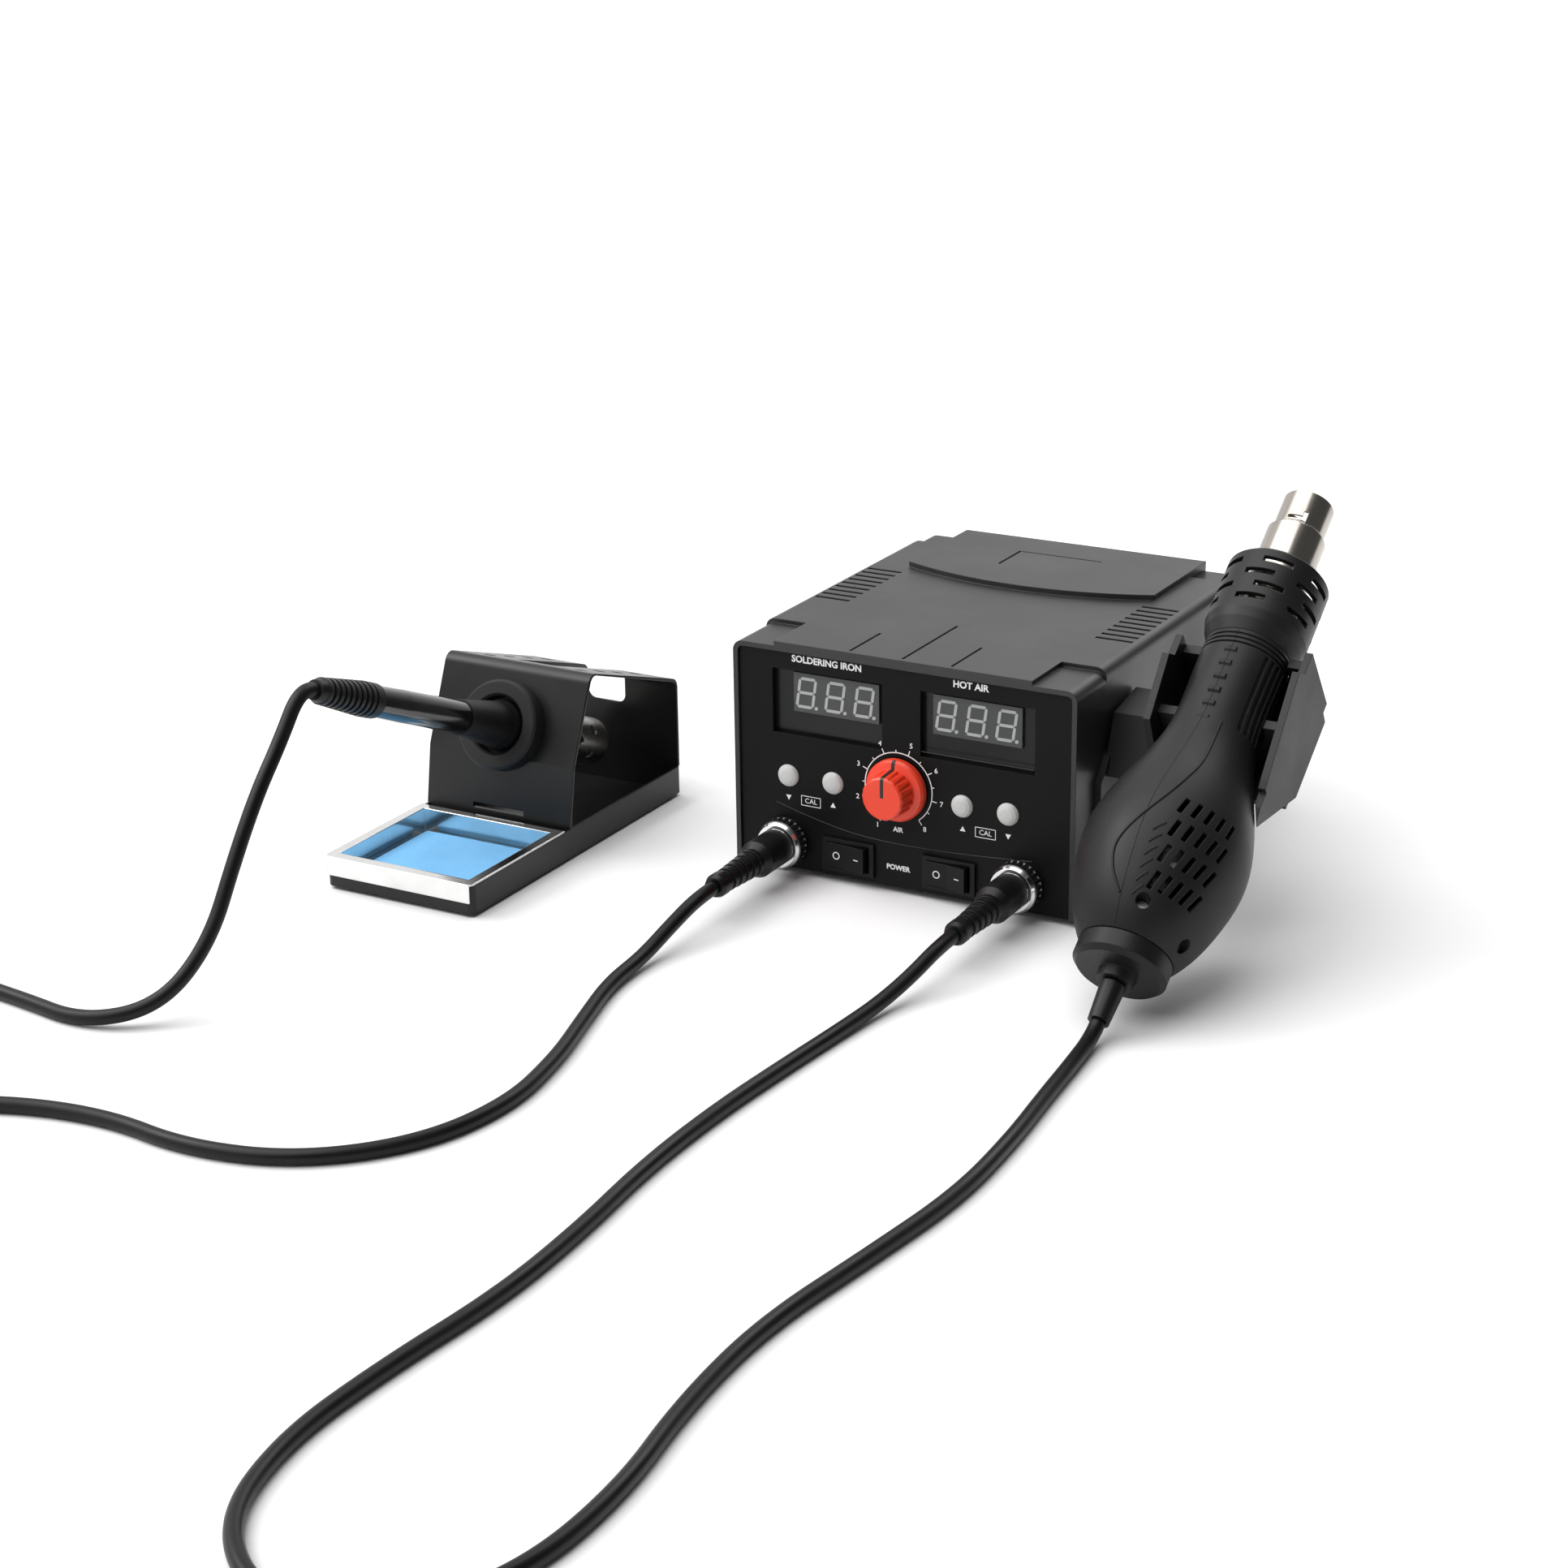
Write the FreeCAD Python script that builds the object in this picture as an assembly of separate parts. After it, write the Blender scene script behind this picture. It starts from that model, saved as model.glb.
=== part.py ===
"""Two-in-one soldering station: control case, iron on its stand, hot-air gun in a side cradle.

Millimetres. X runs across the case, the front panel faces -Y, Z is up from the bench.
Every piece is drawn about the middle of the case floor. At the end all pieces move
together so that the origin is under the middle of the whole set, cords left out.
"""
import FreeCAD, Part
import math
import os

V = FreeCAD.Vector

# ---------------------------------------------------------------- driving sizes
# control case
CASE_W = 156.0
CASE_D = 180.0
CASE_H = 100.0          # bench to the low corner pads
FOOT_H = 3.0
FOOT_R = 7.0
WALL = 2.2
EDGE_R = 4.5
PAN_T = 2.0
STEP_H = 2.0            # main top above the corner pads
BAND_W = 117.0          # middle band that runs to the front and rear edges
PAD_D = 28.0            # depth of the front corner pads
REAR_PAD_D = 18.0
PLATEAU_H = 2.5
PLATEAU_D = 58.0
PLATEAU_BULGE = 12.0
FIT = 0.1               # gap round a panel that drops in
CLEAR = 0.3             # gap between pieces that move apart
# front and rear panels
PANEL_IN = 1.2
PANEL_T = 3.0
WINDOW_W = 51.0
WINDOW_H = 28.0
WINDOW_Z = 76.0
WINDOW_X = (-34.5, 34.0)
DIGITS_W = 39.7
DIGITS_H = 17.0
DIGITS_Z = 80.5
DIGITS_X = (-31.0, 33.3)
DIGITS_D = 8.0
DIGITS_IN = 1.6
BUTTON_D = 9.6
BUTTON_Z = 43.7
BUTTON_X = (-53.0, -32.0, 27.5, 48.0)
BUTTON_TRAVEL = 0.8
KNOB_X = -1.5
KNOB_Z = 46.5
KNOB_SKIRT_D = 26.6
KNOB_CAP_D = 18.4
KNOB_H = 15.0
SHAFT_D = 6.0
ROCKER_X = (-24.5, 22.0)
ROCKER_Z = 12.6
ROCKER_W = 18.4
ROCKER_H = 10.6
ROCKER_TILT = 7.5       # degrees each side of the middle
BEZEL_W = 24.0
BEZEL_H = 14.6
SOCKET_X = (-54.0, 54.0)
SOCKET_D = 16.0
SOCKET_NUT = 2.0         # wall of the ring nut behind the panel
RING_D = 21.0
PLUG_BOOT_D = 15.0
PLUG_REACH = 61.0       # panel face to the end of the boot
CORD_D = 6.0
# vents in the top
VENT_COUNT = 9
VENT_PITCH = 6.0
VENT_L = 16.5
VENT_W = 2.4
VENT_X = 65.5
# iron stand
STAND_X = -180.0
STAND_FRONT = -192.5
STAND_W = 74.0
STAND_L = 165.0
SHEET = 1.2
BASE_H = 14.0
STAND_CORNER_R = 3.0
HOLDER_BEND_R = 5.0      # outside of the holder's two upper bends
TRAY_L = 69.0
TRAY_LIP = 7.5
TRAY_RIM = 3.5
TRAY_WELL = 12.0
SPONGE_T = 3.5
SPONGE_GAP = 3.4
HOLDER_FOLD_Z = 40.0
HOLDER_TOP_Z = 78.0
HOLDER_REAR_Z = 55.0
HOLDER_TILT = 23.0      # lean of the upper front plate and of the iron
SLOT_W = 20.0
TIP_HOLE_D = 5.5
BUSH_D = 39.0
BUSH_L = 8.0
BUSH_BORE = 25.0
BUSH_STOP_BORE = 17.0
BUSH_Z = 52.0
GUARD_L = 68.0
# iron
NOSE_D = 22.0
NOSE_L = 35.0
HANDLE_D = 14.0
HANDLE_L = 64.0
IRON_BOOT_L = 39.0
BARREL_D = 8.0
TIP_REACH = 78.0
IRON_PULL = 95.0
# hot-air gun
GUN_X = 130.0
GUN_TILT = 54.0         # lean back from upright
GUN_TAIL_Y = -166.0
GUN_TAIL_Z = 20.0
GUN_WALL = 2.0
CAP_D = 37.0
CAP_L = 9.0
BULGE_D = 65.0
BULGE_S = 53.0
NECK_D = 35.0
NECK_S = 108.0
COLLAR_D = 42.0
COLLAR_S = 152.0
COLLAR_L = 39.0
TUBE_D = 24.6
TUBE_S = 213.0
NOZZLE_D = 21.2
NOZZLE_S = 229.0
BAYONET_W = 1.6
BAYONET_L = 5.0
GUN_BOOT_L = 17.0
GUN_LIFT = 60.0
# cradle
JAW_SPAN = 57.0
JAW_T = 3.0
JAW_L = 34.0

# ---------------------------------------------------------------- derived places
FRONT_Y = -CASE_D / 2
REAR_Y = CASE_D / 2
MAIN_Z = CASE_H + STEP_H
PLATEAU_Z = MAIN_Z + PLATEAU_H
PAN_TOP = FOOT_H + PAN_T
SOCKET_Z = PAN_TOP + SOCKET_D / 2 + SOCKET_NUT
ROOM_W = CASE_W - 2 * WALL
ROOM_TOP = CASE_H - WALL
PANEL_FACE = FRONT_Y + PANEL_IN
PANEL_BACK = PANEL_FACE + PANEL_T
REAR_FACE = REAR_Y - PANEL_IN
REAR_BACK = REAR_FACE - PANEL_T
DIGITS_FACE = PANEL_FACE + DIGITS_IN
BOARD_Y = DIGITS_FACE + DIGITS_D
BOARD_T = 1.6


# ---------------------------------------------------------------- shape helpers
def block(x0, x1, y0, y1, z0, z1):
    """A box given by its six faces."""
    return Part.makeBox(x1 - x0, y1 - y0, z1 - z0, V(x0, y0, z0))


def block_at(cx, cy, cz, dx, dy, dz):
    """A box given by its middle and its sizes."""
    return block(cx - dx / 2, cx + dx / 2, cy - dy / 2, cy + dy / 2, cz - dz / 2, cz + dz / 2)


def rod(radius, start, end):
    """A cylinder from one point to another."""
    a = V(*start)
    b = V(*end)
    return Part.makeCylinder(radius, (b - a).Length, a, b - a)


def turned(profile):
    """A solid of revolution about Z from (radius, height) points."""
    points = [V(r, 0, z) for r, z in profile]
    face = Part.Face(Part.makePolygon(points + points[:1]))
    return face.revolve(V(0, 0, 0), V(0, 0, 1), 360)


def prism(points, vector):
    """A closed outline of points pushed along a vector."""
    corners = [V(*p) for p in points]
    return Part.Face(Part.makePolygon(corners + corners[:1])).extrude(V(*vector))


def side_plate(outline, x0, x1):
    """An outline of (y, z) points made into a plate between two x values."""
    return prism([(x0, y, z) for y, z in outline], (x1 - x0, 0, 0))


def arch(width, z0, z1, radius, y0, y1):
    """A block along Y whose two upper edges are rounded."""
    h = width / 2
    k = radius * (1 - math.sqrt(0.5))
    left = Part.Arc(V(-h, y0, z1 - radius), V(-h + k, y0, z1 - k), V(-h + radius, y0, z1))
    right = Part.Arc(V(h - radius, y0, z1), V(h - k, y0, z1 - k), V(h, y0, z1 - radius))
    edges = [
        Part.makeLine(V(-h, y0, z0), V(-h, y0, z1 - radius)),
        left.toShape(),
        Part.makeLine(V(-h + radius, y0, z1), V(h - radius, y0, z1)),
        right.toShape(),
        Part.makeLine(V(h, y0, z1 - radius), V(h, y0, z0)),
        Part.makeLine(V(h, y0, z0), V(-h, y0, z0)),
    ]
    return Part.Face(Part.Wire(edges)).extrude(V(0, y1 - y0, 0))


def union(shapes):
    """One solid from overlapping shapes."""
    first = shapes[0]
    return first.multiFuse(shapes[1:]).removeSplitter() if len(shapes) > 1 else first


def group(shapes):
    """Separate solids kept in one node."""
    return Part.makeCompound(shapes)


def leaned(shape, tilt, origin):
    """A shape drawn up local Z, leaned back by tilt degrees from Z and moved to its place."""
    copy = shape.copy()
    copy.rotate(V(0, 0, 0), V(1, 0, 0), tilt)
    copy.translate(V(*origin))
    return copy


# ---------------------------------------------------------------- control case
def top_cover():
    """Inverted tray: top and both side walls, with steps, vents and pressed lines."""
    skin = union([
        arch(CASE_W, FOOT_H, CASE_H, EDGE_R, FRONT_Y, REAR_Y),
        arch(CASE_W, FOOT_H, MAIN_Z, EDGE_R, FRONT_Y + PAD_D, REAR_Y - REAR_PAD_D),
        block(-BAND_W / 2, BAND_W / 2, FRONT_Y, REAR_Y, CASE_H - WALL, MAIN_Z),
        plateau(),
    ])
    room = arch(ROOM_W, FOOT_H - 1, ROOM_TOP, EDGE_R - WALL, FRONT_Y - 1, REAR_Y + 1)
    shell = skin.cut(room)
    blocks = [screw_block(sx, sy) for sx in (-1, 1) for sy in (-1, 1)]
    shell = union([shell] + blocks)
    cuts = vents() + pressed_lines()
    cuts += [rod(1.25, (x, y, 0), (x, y, PAN_TOP + 9)) for x, y in screw_places()]
    return shell.cut(cuts)


def plateau():
    """Raised rear pad with an arched front edge."""
    h = BAND_W / 2
    y0 = REAR_Y - PLATEAU_D
    z = MAIN_Z - 0.5
    front = Part.Arc(V(-h, y0, z), V(0, y0 - PLATEAU_BULGE, z), V(h, y0, z)).toShape()
    back = Part.makePolygon([V(h, y0, z), V(h, REAR_Y, z), V(-h, REAR_Y, z), V(-h, y0, z)])
    face = Part.Face(Part.Wire([front] + back.Edges))
    return face.extrude(V(0, 0, PLATEAU_Z - z))


def vents():
    """Slots across both sides of the top."""
    cuts = []
    for side in (-1, 1):
        for i in range(VENT_COUNT):
            y = (i - (VENT_COUNT - 1) / 2) * VENT_PITCH - 2.0
            middle = (side * VENT_X, y, MAIN_Z)
            cuts.append(block_at(*middle, VENT_L, VENT_W, 4 * (WALL + STEP_H)))
    return cuts


def pressed_lines():
    """Shallow creases behind the front lip and an angled line on the plateau."""
    depth = 0.8
    width = 1.2
    cuts = []
    for x, length in ((-24, 27), (0, 50), (22, 28)):
        y0 = FRONT_Y + 2
        cuts.append(block(x - width / 2, x + width / 2, y0, y0 + length, MAIN_Z - depth, MAIN_Z + 1))
    x0 = -22.0
    y1 = REAR_Y - 21.0
    cuts.append(union([block(x0, x0 + width, y1 - 23, y1, PLATEAU_Z - depth, PLATEAU_Z + 1),
                       block(x0, x0 + 40, y1 - width, y1, PLATEAU_Z - depth, PLATEAU_Z + 1)]))
    return cuts


def screw_places():
    """Plan positions of the four case screws, inside the corner blocks."""
    x = ROOM_W / 2 - 5.0
    front = PANEL_BACK + 5.0
    rear = REAR_BACK - 5.0
    return [(side * x, y) for side in (-1, 1) for y in (front, rear)]


def screw_block(side_x, side_y):
    """Block on a side wall that takes a case screw from below."""
    x, y = [p for p in screw_places() if p[0] * side_x > 0 and p[1] * side_y > 0][0]
    outer = side_x * (ROOM_W / 2 + 0.5)
    inner = x - side_x * 4.0
    return block(min(outer, inner), max(outer, inner), y - 4, y + 4, PAN_TOP, PAN_TOP + 12)


def base_pan():
    """Floor plate with standoffs for the power board and holes for the case screws."""
    x = ROOM_W / 2 - FIT
    pan = block(-x, x, PANEL_BACK, REAR_BACK, FOOT_H, PAN_TOP)
    posts = [rod(3.0, (px, py, PAN_TOP - 0.5), (px, py, POWER_Z)) for px, py in standoffs()]
    holes = [rod(1.7, (sx, sy, 0), (sx, sy, PAN_TOP + 1)) for sx, sy in screw_places()]
    return union([pan] + posts).cut(holes)


def case_screws():
    """Four pan-head screws up through the floor plate."""
    screws = []
    for x, y in screw_places():
        head = rod(2.7, (x, y, FOOT_H - 1.6), (x, y, FOOT_H))
        shank = rod(1.2, (x, y, FOOT_H - 0.5), (x, y, PAN_TOP + 8))
        screws.append(union([head, shank]))
    return group(screws)


def station_feet():
    """Four rubber feet under the floor plate."""
    x = ROOM_W / 2 - 14.0
    y = CASE_D / 2 - 20.0
    return group([rod(FOOT_R, (sx * x, sy * y, 0), (sx * x, sy * y, FOOT_H))
                  for sx in (-1, 1) for sy in (-1, 1)])


def panel_plate(y0, thickness):
    """Blank that drops into the mouth of the cover."""
    return arch(ROOM_W - 2 * FIT, FOOT_H, ROOM_TOP, EDGE_R - WALL, y0, y0 + thickness)


def front_panel():
    """Front plate with every opening, and posts that carry the front board."""
    plate = panel_plate(PANEL_FACE, PANEL_T)
    posts = [rod(3.0, (x, PANEL_BACK - 0.5, z), (x, BOARD_Y, z)) for x, z in board_posts()]
    plate = union([plate] + posts)
    y0 = PANEL_FACE - 1
    y1 = PANEL_BACK + 0.01
    cuts = [block_at(x, PANEL_FACE, WINDOW_Z, WINDOW_W, 4 * PANEL_T, WINDOW_H) for x in WINDOW_X]
    cuts += [rod(BUTTON_D / 2 + CLEAR, (x, y0, BUTTON_Z), (x, y1, BUTTON_Z)) for x in BUTTON_X]
    cuts.append(rod(POT_BUSH_D / 2 + 0.05, (KNOB_X, y0, KNOB_Z), (KNOB_X, y1, KNOB_Z)))
    cuts += [block_at(x, PANEL_FACE, ROCKER_Z, BODY_W + FIT, 4 * PANEL_T, BODY_H + FIT) for x in ROCKER_X]
    cuts += [rod(SOCKET_D / 2 + 0.05, (x, y0, SOCKET_Z), (x, y1, SOCKET_Z)) for x in SOCKET_X]
    return plate.cut(cuts)


def board_posts():
    """Front board fixings, clear of the windows."""
    return [(side * 68.0, z) for side in (-1, 1) for z in (34.0, 90.0)]


def display_windows():
    """Dark masks behind the window openings, each with a hole for its digits."""
    masks = []
    for wx, dx in zip(WINDOW_X, DIGITS_X):
        mask = block_at(wx, PANEL_BACK + 0.6, WINDOW_Z, WINDOW_W + 4, 1.2, WINDOW_H + 4)
        hole = block_at(dx, PANEL_BACK, DIGITS_Z, DIGITS_W + FIT, 8, DIGITS_H + FIT)
        masks.append(mask.cut(hole))
    return group(masks)


def display_modules():
    """Two three-digit modules that stand on the front board."""
    y = DIGITS_FACE + DIGITS_D / 2
    return group([block_at(x, y, DIGITS_Z, DIGITS_W, DIGITS_D, DIGITS_H) for x in DIGITS_X])


def front_board():
    """Circuit board that carries digits, switches and the flow control."""
    return block(-72, 72, BOARD_Y, BOARD_Y + BOARD_T, 28, 94)


def tact_switches():
    """Four small switches on the board, behind the buttons."""
    return group([block_at(x, BOARD_Y - SWITCH_D / 2, BUTTON_Z, 6, SWITCH_D, 6) for x in BUTTON_X])


def button(x):
    """Domed button with a flange behind the panel and a stem over its switch."""
    dome_y = PANEL_FACE - 2.4
    r = BUTTON_D / 2
    profile = [(0, 0), (r * 0.55, 0.25), (r * 0.85, 0.9), (r, 2.0), (r, 5.4 + CLEAR),
               (r + 1.6, 5.4 + CLEAR), (r + 1.6, 6.4 + CLEAR), (0, 6.4 + CLEAR)]
    shape = turned(profile)
    shape.rotate(V(0, 0, 0), V(1, 0, 0), -90)
    shape.translate(V(x, dome_y, BUTTON_Z))
    return shape


def potentiometer():
    """Flow control: body on the board, threaded bush through the panel, and its nut."""
    body = rod(8.5, (KNOB_X, PANEL_BACK, KNOB_Z), (KNOB_X, BOARD_Y, KNOB_Z))
    bush = rod(POT_BUSH_D / 2, (KNOB_X, PANEL_FACE - 3.0, KNOB_Z), (KNOB_X, PANEL_BACK + 1, KNOB_Z))
    bore = rod(SHAFT_D / 2 + 0.05, (KNOB_X, PANEL_FACE - 4, KNOB_Z), (KNOB_X, BOARD_Y - 1.0, KNOB_Z))
    nut = rod(5.5, (KNOB_X, PANEL_FACE - 2.0, KNOB_Z), (KNOB_X, PANEL_FACE, KNOB_Z))
    nut = nut.cut(rod(POT_BUSH_D / 2 + 0.05, (KNOB_X, PANEL_FACE - 4, KNOB_Z), (KNOB_X, PANEL_BACK, KNOB_Z)))
    return group([union([body, bush]).cut(bore), nut])


def knob_shaft():
    """Turning shaft of the flow control."""
    return rod(SHAFT_D / 2, (KNOB_X, PANEL_FACE - 12.0, KNOB_Z), (KNOB_X, BOARD_Y - 1.2, KNOB_Z))


def speed_knob():
    """Fluted cap on a round skirt, hollow at the back over the nut."""
    skirt_r = KNOB_SKIRT_D / 2
    cap_r = KNOB_CAP_D / 2
    back = 0.9
    body = turned([(0, back), (skirt_r, back), (skirt_r, 3.4), (skirt_r - 0.8, 4.6), (cap_r + 0.6, 5.2),
                   (cap_r, KNOB_H - 0.8), (cap_r - 0.8, KNOB_H), (0, KNOB_H)])
    flutes = []
    for i in range(18):
        a = math.radians(20 * i + 10)
        x = (cap_r + 0.85) * math.cos(a)
        y = (cap_r + 0.85) * math.sin(a)
        flutes.append(Part.makeCylinder(1.1, KNOB_H, V(x, y, 5.4), V(0, 0, 1)))
    body = body.cut(flutes)
    body = body.cut([Part.makeCylinder(6.4, 3.8), Part.makeCylinder(SHAFT_D / 2 + 0.03, 12.1)])
    body.rotate(V(0, 0, 0), V(1, 0, 0), 90)
    body.translate(V(KNOB_X, PANEL_FACE, KNOB_Z))
    return body


def rocker_frames():
    """Two bezels with boxed bodies behind the panel and pivot holes for the rockers."""
    frames = []
    for x in ROCKER_X:
        bezel = block_at(x, PANEL_FACE - 0.8, ROCKER_Z, BEZEL_W, 1.6, BEZEL_H)
        body = block(x - BODY_W / 2, x + BODY_W / 2, PANEL_FACE - 0.5, PANEL_FACE + 14,
                     ROCKER_Z - BODY_H / 2, ROCKER_Z + BODY_H / 2)
        room = block_at(x, PANEL_FACE, ROCKER_Z, ROCKER_W + 1.2, 20.0, ROCKER_H + 2 * CLEAR)
        pins = rod(PIVOT_R + 0.08, (x, PIVOT_Y, ROCKER_Z - 6.6), (x, PIVOT_Y, ROCKER_Z + 6.6))
        frames.append(union([bezel, body]).cut([room, pins]))
    return group(frames)


def rocker(x):
    """Paddle with a dished face on two pivot pins, tipped to its off side."""
    a = ROCKER_W / 2
    z0 = ROCKER_Z - ROCKER_H / 2
    face_y = PANEL_FACE - 1.6
    outline = [(x - a, face_y - 1.5), (x, face_y - 0.7), (x + a, face_y - 1.5),
               (x + a - 0.3, face_y + 2.2), (x + 4, face_y + 7.0), (x - 4, face_y + 7.0),
               (x - a + 0.3, face_y + 2.2)]
    paddle = prism([(px, py, z0) for px, py in outline], (0, 0, ROCKER_H))
    pins = rod(PIVOT_R, (x, PIVOT_Y, ROCKER_Z - 6.2), (x, PIVOT_Y, ROCKER_Z + 6.2))
    shape = union([paddle, pins])
    shape.rotate(V(x, PIVOT_Y, 0), V(0, 0, 1), -ROCKER_TILT)
    return shape


POT_BUSH_D = 7.0
SWITCH_D = 3.6
BODY_W = 21.4
BODY_H = 12.6
PIVOT_R = 1.2
PIVOT_Y = PANEL_FACE + 1.6
POWER_Z = PAN_TOP + 6.0


def panel_sockets():
    """Two round sockets: flange on the panel, threaded neck, barrel behind."""
    sockets = []
    for x in SOCKET_X:
        barrel = rod(SOCKET_D / 2, (x, PANEL_FACE - SOCKET_NECK, SOCKET_Z), (x, PANEL_BACK + 10, SOCKET_Z))
        flange = rod(SOCKET_D / 2 + 1.6, (x, PANEL_FACE - 1.2, SOCKET_Z), (x, PANEL_FACE, SOCKET_Z))
        bore = rod(PIN_D / 2 + 0.05, (x, PANEL_FACE - SOCKET_NECK - 1, SOCKET_Z), (x, PANEL_BACK + 6, SOCKET_Z))
        sockets.append(union([barrel, flange]).cut(bore))
    return group(sockets)


def socket_nuts():
    """Ring nuts that clamp the sockets from behind the panel."""
    nuts = []
    for x in SOCKET_X:
        nut = rod(SOCKET_D / 2 + SOCKET_NUT, (x, PANEL_BACK, SOCKET_Z), (x, PANEL_BACK + 2.5, SOCKET_Z))
        nuts.append(nut.cut(rod(SOCKET_D / 2 + 0.05, (x, 0, SOCKET_Z), (x, FRONT_Y, SOCKET_Z))))
    return group(nuts)


def facing_front(shape, x, z):
    """A shape drawn up local Z, turned to point out of the panel at (x, z)."""
    shape.rotate(V(0, 0, 0), V(1, 0, 0), 90)
    shape.translate(V(x, PANEL_FACE, z))
    return shape


def plug(x):
    """Metal contact end in the socket and a bright sleeve that the boot is moulded on."""
    end = SOCKET_NECK + 3.4
    sleeve_r = PLUG_BOOT_D / 2
    body = turned([(0, -PANEL_T - 4), (PIN_D / 2, -PANEL_T - 4), (PIN_D / 2, SOCKET_NECK + CLEAR),
                   (sleeve_r, SOCKET_NECK + CLEAR), (sleeve_r, end), (0, end)])
    return facing_front(body, x, SOCKET_Z)


def plug_boot(x):
    """Moulded grip, ribbed neck and end bulb."""
    start = SOCKET_NECK + 3.4
    r = PLUG_BOOT_D / 2
    neck = start + 19
    profile = [(0, start), (r + 0.4, start), (r + 0.4, neck - 3), (r - 1.5, neck)]
    ribs = 5
    pitch = (PLUG_REACH - 8 - neck) / ribs
    for i in range(ribs):
        z = neck + i * pitch
        rib_r = r - 1.6 - 0.25 * i
        profile += [(rib_r, z + 0.1), (rib_r, z + pitch * 0.6), (rib_r - 1.1, z + pitch * 0.65), (rib_r - 1.1, z + pitch)]
    profile += [(4.6, PLUG_REACH - 8), (5.0, PLUG_REACH - 6), (5.0, PLUG_REACH - 2), (4.2, PLUG_REACH), (0, PLUG_REACH)]
    return facing_front(turned(profile), x, SOCKET_Z)


def plug_ring(x):
    """Knurled coupling ring that turns on the socket neck."""
    ring = turned([(SOCKET_D / 2 + 0.1, 1.5), (RING_D / 2, 1.5), (RING_D / 2, SOCKET_NECK + 0.6),
                   (RING_D / 2 - 1.2, SOCKET_NECK + 2.6), (PLUG_BOOT_D / 2 + 0.1, SOCKET_NECK + 2.6),
                   (PLUG_BOOT_D / 2 + 0.1, SOCKET_NECK + 1.0), (SOCKET_D / 2 + 0.1, SOCKET_NECK + 1.0)])
    notches = []
    for i in range(24):
        a = math.radians(15 * i)
        where = V((RING_D / 2 + 0.25) * math.cos(a), (RING_D / 2 + 0.25) * math.sin(a), 2.6)
        notches.append(Part.makeCylinder(0.7, SOCKET_NECK - 2.6, where))
    return facing_front(ring.cut(notches), x, SOCKET_Z)


# ---------------------------------------------------------------- inside and back of the case
def rear_panel():
    """Rear plate with the inlet opening."""
    plate = panel_plate(REAR_BACK, PANEL_T)
    hole = block_at(INLET_X, REAR_FACE, INLET_Z, INLET_W + FIT, 4 * PANEL_T, INLET_H + FIT)
    return plate.cut(hole)


def mains_inlet():
    """Inlet with a socket for the mains lead, three blades, and a slot for the fuse drawer."""
    x = INLET_X
    z = INLET_Z
    flange = block_at(x, REAR_FACE + 1.25, z, INLET_W + 4, 2.5, INLET_H + 4)
    body = block(x - INLET_W / 2, x + INLET_W / 2, REAR_FACE - 22, REAR_FACE + 1,
                 z - INLET_H / 2, z + INLET_H / 2)
    mouth = block(x - 12.2, x + 12.2, REAR_FACE - 16, REAR_FACE + 3, z - 3.5, z + 13.3)
    slot = block(x - DRAWER_W / 2 - FIT, x + DRAWER_W / 2 + FIT, REAR_FACE - 18, REAR_FACE + 3,
                 DRAWER_Z - DRAWER_H / 2 - FIT, DRAWER_Z + DRAWER_H / 2 + FIT)
    shell = union([flange, body]).cut([mouth, slot])
    blades = [block(x + dx - 1, x + dx + 1, REAR_FACE - 16.5, REAR_FACE - 1, z + dz - 2, z + dz + 2)
              for dx, dz in ((-7, 3), (0, 7), (7, 3))]
    return union([shell] + blades)


def fuse_drawer():
    """Small drawer with a finger lip."""
    x = INLET_X
    body = block(x - DRAWER_W / 2, x + DRAWER_W / 2, REAR_FACE - 17.5, REAR_FACE + 3.4,
                 DRAWER_Z - DRAWER_H / 2, DRAWER_Z + DRAWER_H / 2)
    well = block(x - DRAWER_W / 2 + 1, x + DRAWER_W / 2 - 1, REAR_FACE - 16, REAR_FACE,
                 DRAWER_Z - DRAWER_H / 2 + 1, DRAWER_Z + DRAWER_H / 2 + 1)
    return body.cut(well)


def power_board():
    """Circuit board on the pan's standoffs."""
    xs = [p[0] for p in standoffs()]
    ys = [p[1] for p in standoffs()]
    return block(min(xs) - 5, max(xs) + 5, min(ys) - 5, max(ys) + 5, POWER_Z, POWER_Z + BOARD_T)


def standoffs():
    """Plan positions that carry the power board."""
    return [(x, y) for x in (0.0, 62.0) for y in (-45.0, 45.0)]


def transformer_core():
    """Laminated core with two windows, standing on the pan."""
    z1 = PAN_TOP + CORE_H
    core = block(CORE_X - CORE_W / 2, CORE_X + CORE_W / 2, CORE_Y - CORE_T / 2, CORE_Y + CORE_T / 2, PAN_TOP, z1)
    windows = [block_at(CORE_X + side * CORE_W / 4, CORE_Y, PAN_TOP + CORE_H / 2,
                        CORE_W / 4 - 2, CORE_T + 2, CORE_H - 16) for side in (-1, 1)]
    return core.cut(windows)


def transformer_winding():
    """Wound bobbin round the middle leg."""
    h = CORE_H - 16 - 2 * CLEAR
    leg = CORE_W / 4 + 2
    wide = leg + 2 * (CORE_W / 4 - 2) - 2 * CLEAR
    z = PAN_TOP + CORE_H / 2
    coil = block_at(CORE_X, CORE_Y, z, wide, CORE_T + 16, h)
    return coil.cut(block_at(CORE_X, CORE_Y, z, leg + FIT, CORE_T + FIT, h + 2))


def heatsink():
    """Finned aluminium block on the power board."""
    base_z = POWER_Z + BOARD_T
    plate = block(24, 60, 20, 24, base_z, base_z + 30)
    fins = [block(24 + 6 * i, 25.5 + 6 * i, 8, 21, base_z, base_z + 30) for i in range(7)]
    return union([plate] + fins).common(block(24, 60, 0, 30, 0, 100))


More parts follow.
